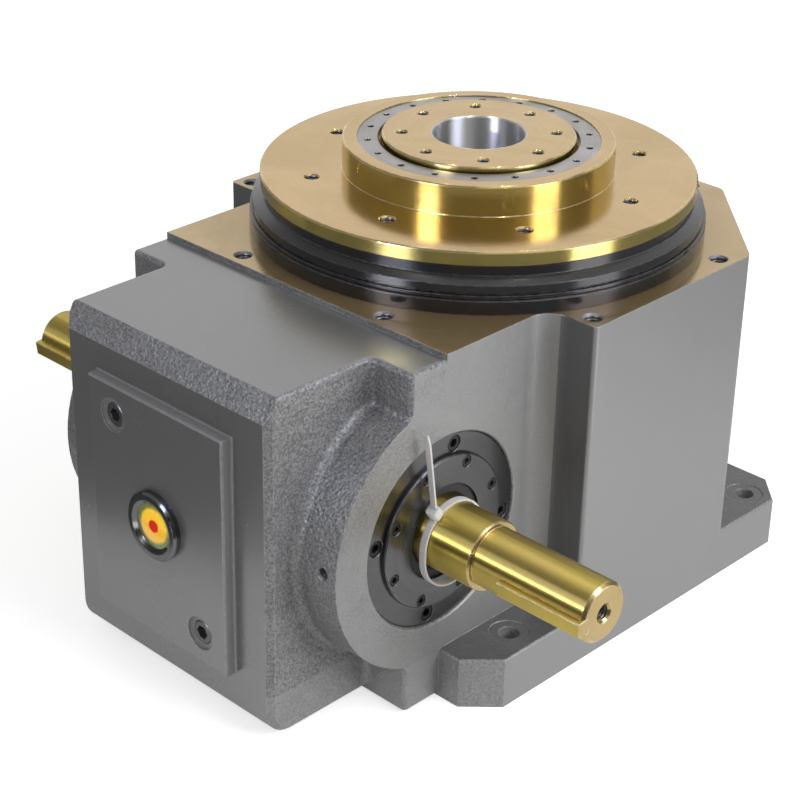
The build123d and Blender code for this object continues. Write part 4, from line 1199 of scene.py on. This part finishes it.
def away_from(azimuth: float, elevation: float) -> Vector:
    """Find the direction of an azimuth, from -Y towards +X, and an elevation in degrees."""
    turn, rise = math.radians(azimuth), math.radians(elevation)
    return Vector((math.sin(turn) * math.cos(rise), -math.cos(turn) * math.cos(rise),
                   math.sin(rise)))


def looking_back(spot: Vector, away: Vector) -> Matrix:
    """Find the frame at a spot whose -Z looks against a direction."""
    return Matrix.Translation(spot) @ away.to_track_quat("Z", "Y").to_matrix().to_4x4()


# Aim of the bore's lights, and tint of the flags that a window would be.
BORE_MOUTH = (0.0, 0.0, 0.29)
COOL: Colour = (0.92, 1.0, 1.45)
WHITE: Colour = (1.0, 1.0, 1.0)


@dataclass(frozen=True)
class SoftBox:
    """One soft box of the studio.

    Attributes:
        name: Name of the light.
        azimuth: Direction in degrees, from -Y towards +X.
        elevation: Height in degrees.
        distance: Distance from the point that it faces, in metres.
        width: Width of the box, in metres.
        height: Height of the box, in metres.
        power: Power in watts.
        reach: What it lights.
        spread: Angle of its beam in degrees.
        aim: Point that it faces.
    """

    name: str
    azimuth: float
    elevation: float
    distance: float
    width: float
    height: float
    power: float
    reach: Reach = Reach.ALL
    spread: float = 180.0
    aim: tuple[float, float, float] = (0.0, -0.05, 0.15)

    def build(self) -> None:
        """Make the light."""
        away = away_from(self.azimuth, self.elevation)
        light = bpy.data.lights.new(self.name, "AREA")
        light.shape = "RECTANGLE"
        light.size = self.width
        light.size_y = self.height
        light.energy = self.power
        light.spread = math.radians(self.spread)
        light.use_shadow = self.reach is not Reach.FILL
        holder = bpy.data.objects.new(self.name, light)
        holder.matrix_world = looking_back(Vector(self.aim) + away * self.distance, away)
        holder.visible_diffuse = self.reach is not Reach.GLOSS
        holder.visible_glossy = self.reach is not Reach.FILL
        holder.visible_transmission = self.reach is not Reach.FILL
        bpy.context.scene.collection.objects.link(holder)


@dataclass(frozen=True)
class Flag:
    """A curved studio flag that only gloss shows, so that it shades no surface.

    Attributes:
        name: Name of the flag.
        first: Its first end, in degrees from -Y towards +X.
        last: Its last end.
        level: Its brightness.
        low: Height of its lower edge.
        top: Height of its upper edge.
        radius: Its distance from the output axis.
        tint: Its colour.
    """

    name: str
    first: float
    last: float
    level: float
    low: float = 0.0
    top: float = 0.305
    radius: float = 0.50
    tint: Colour = WHITE

    STEP = 4.0

    def build(self) -> None:
        """Make the flag."""
        mesh = bmesh.new()
        count = max(2, int((self.last - self.first) / self.STEP))
        rows = []
        for step in range(count + 1):
            turn = math.radians(self.first + (self.last - self.first) * step / count)
            x, y = self.radius * math.sin(turn), -self.radius * math.cos(turn)
            rows.append([mesh.verts.new((x, y, z)) for z in (self.low, self.top)])
        for one, two in zip(rows, rows[1:]):
            mesh.faces.new((one[0], two[0], two[1], one[1]))
        flag = new_object(self.name, mesh)
        material = bpy.data.materials.new(self.name)
        graph = start_nodes(material)
        glow = graph.feed(graph.add("NodeEmission"), Color=self.tint, Strength=self.level)
        graph.output(glow.outputs[0])
        flag.data.materials.append(material)
        for ray in ("camera", "diffuse", "transmission", "shadow"):
            setattr(flag, "visible_" + ray, False)


@dataclass(frozen=True)
class Viewpoint:
    """The photograph's camera.

    Attributes:
        eye: Place of the camera.
        azimuth: Direction in degrees, from -Y towards +X.
        elevation: Height in degrees.
        roll: Roll in degrees.
        lens: Focal length in millimetres.
        shift: Horizontal and vertical shift.
        sensor: Width of the sensor in millimetres.
        reach: How far it sees, in metres.
    """

    eye: tuple[float, float, float] = (0.8331, -0.9479, 0.7641)
    azimuth: float = 45.758
    elevation: float = 27.065
    roll: float = 0.162
    lens: float = 92.82
    shift: tuple[float, float] = (0.0915, -0.0298)
    sensor: float = 36.0
    reach: float = 50.0

    def build(self) -> None:
        """Make the camera."""
        data = bpy.data.cameras.new("camera")
        data.sensor_width = self.sensor
        data.lens = self.lens
        data.shift_x, data.shift_y = self.shift
        data.clip_end = self.reach
        camera = bpy.data.objects.new("camera", data)
        frame = looking_back(Vector(self.eye), away_from(self.azimuth, self.elevation))
        camera.matrix_world = frame @ Matrix.Rotation(math.radians(self.roll), 4, "Z")
        bpy.context.scene.collection.objects.link(camera)
        bpy.context.scene.camera = camera


@dataclass
class Studio:
    """Floor, soft boxes, flags, world and camera.

    Attributes:
        boxes: The soft boxes.
        flags: The flags.
        view: The camera.
        ambient: Brightness of the surround as a light.
        floor_radius: Radius of the floor, in metres.
        floor_tone: Colour of the floor.
        floor_roughness: Roughness of the floor.
        floor_glow: Strength of the floor's own light for the eye.
        floor_gloss: Share of that light in glossy surfaces.
    """

    boxes: Sequence[SoftBox] = (
        SoftBox("key", 100.0, 34.0, 2.4, 1.3, 1.1, 32.0),
        SoftBox("bore_left", -30.0, 74.0, 1.8, 0.12, 0.12, 0.03, Reach.GLOSS, 12.0, BORE_MOUTH),
        SoftBox("bore_right", 100.0, 74.0, 1.8, 0.12, 0.12, 0.03, Reach.GLOSS, 12.0, BORE_MOUTH),
        SoftBox("shaft_strip", 3.0, 17.0, 1.2, 0.30, 0.035, 5.0, Reach.GLOSS),
        SoftBox("fill", -135.0, 3.0, 2.4, 1.3, 0.4, 20.0, Reach.FILL),
    )
    flags: Sequence[Flag] = (
        Flag("low_left", -176.0, -4.0, 0.13, 0.0, 0.165, 0.42),
        Flag("low_gap", -25.0, -2.7, 0.13, 0.0, 0.25, 0.62),
        Flag("low_middle", 16.0, 105.0, 0.13, 0.0, 0.165, 0.50),
        Flag("low_right", 105.0, 184.0, 0.26, 0.0, 0.305, 0.50),
        Flag("low_streak_left", -2.7, 15.0, 2.8, 0.0, 0.08, 0.62),
        Flag("low_gap_middle", -4.0, 17.0, 0.05, 0.08, 0.25, 0.62),
        Flag("low_streak_right", 85.0, 105.0, 3.2, 0.0, 0.30, 0.48),
        Flag("low_shaft", -40.0, 24.0, 0.05, 0.166, 0.195, 0.41),
        Flag("high_middle", -5.3, 45.0, 0.34, 1.6, 5.0, 1.50),
        Flag("far_left", -95.0, -5.3, 0.40, 0.0, 5.0, 1.50),
        Flag("far_middle", -5.3, 150.0, 0.30, 0.0, 1.6, 1.50),
        Flag("far_streak_left", -5.3, 10.5, 6.5, 0.6, 1.5, 1.49, COOL),
        Flag("far_streak_right", 88.5, 111.0, 7.5, 0.75, 1.35, 1.49, COOL),
    )
    view: Viewpoint = Viewpoint()
    ambient: float = 0.44
    floor_radius: float = 9.0
    floor_tone: Colour = (0.80, 0.80, 0.80)
    floor_roughness: float = 0.9
    floor_glow: float = 0.62
    floor_gloss: float = 0.45

    def build(self) -> None:
        """Make the whole studio."""
        self.world()
        self.floor()
        for box in self.boxes:
            box.build()
        for flag in self.flags:
            flag.build()
        self.view.build()
        bpy.context.scene.view_settings.view_transform = "Standard"

    def world(self) -> None:
        """Make a white surround for the eye and for gloss, and a softer one for light."""
        world = bpy.data.worlds.new("studio")
        bpy.context.scene.world = world
        graph = start_nodes(world)
        ray = graph.add("NodeLightPath").outputs
        seen = graph.either(ray["Is Camera Ray"], ray["Is Glossy Ray"],
                            ray["Is Transmission Ray"])
        background = graph.feed(graph.add("NodeBackground"), Color=WHITE,
                                Strength=graph.remap(seen, 0.0, 1.0, self.ambient, 1.0))
        graph.output(background.outputs[0], "NodeOutputWorld")

    def floor(self) -> None:
        """Make a round pale floor that keeps the shadow."""
        mesh = bmesh.new()
        bmesh.ops.create_circle(mesh, cap_ends=True, segments=96, radius=self.floor_radius)
        floor = new_object("floor", mesh)
        material = bpy.data.materials.new("floor")
        graph = start_nodes(material)
        ray = graph.add("NodeLightPath").outputs
        seen = graph.either(ray["Is Camera Ray"], ray["Is Transmission Ray"],
                            graph.scale(ray["Is Glossy Ray"], self.floor_gloss))
        shader = graph.feed(graph.add("NodeBsdfPrincipled"), Base_Color=self.floor_tone,
                            Roughness=self.floor_roughness, Emission_Color=WHITE,
                            Emission_Strength=graph.scale(seen, self.floor_glow))
        graph.output(shader.outputs[0])
        floor.data.materials.append(material)


def main() -> None:
    """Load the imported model, dress it and set up the studio."""
    logging.basicConfig(level=logging.INFO, format="%(name)s: %(message)s")
    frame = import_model()
    palette = Palette()
    groups: Iterable[type[SubAssembly]] = (
        Casting, OutputTable, FixedRings, FixedColumn, InputDrive, BearingCaps, FrontPanel,
        PackingTie, Internals)
    for group in groups:
        group(palette, frame["nodes"]).dress()
        LOG.info("dressed %s", group.__name__)
    Studio().build()


if __name__ == "__main__":
    main()
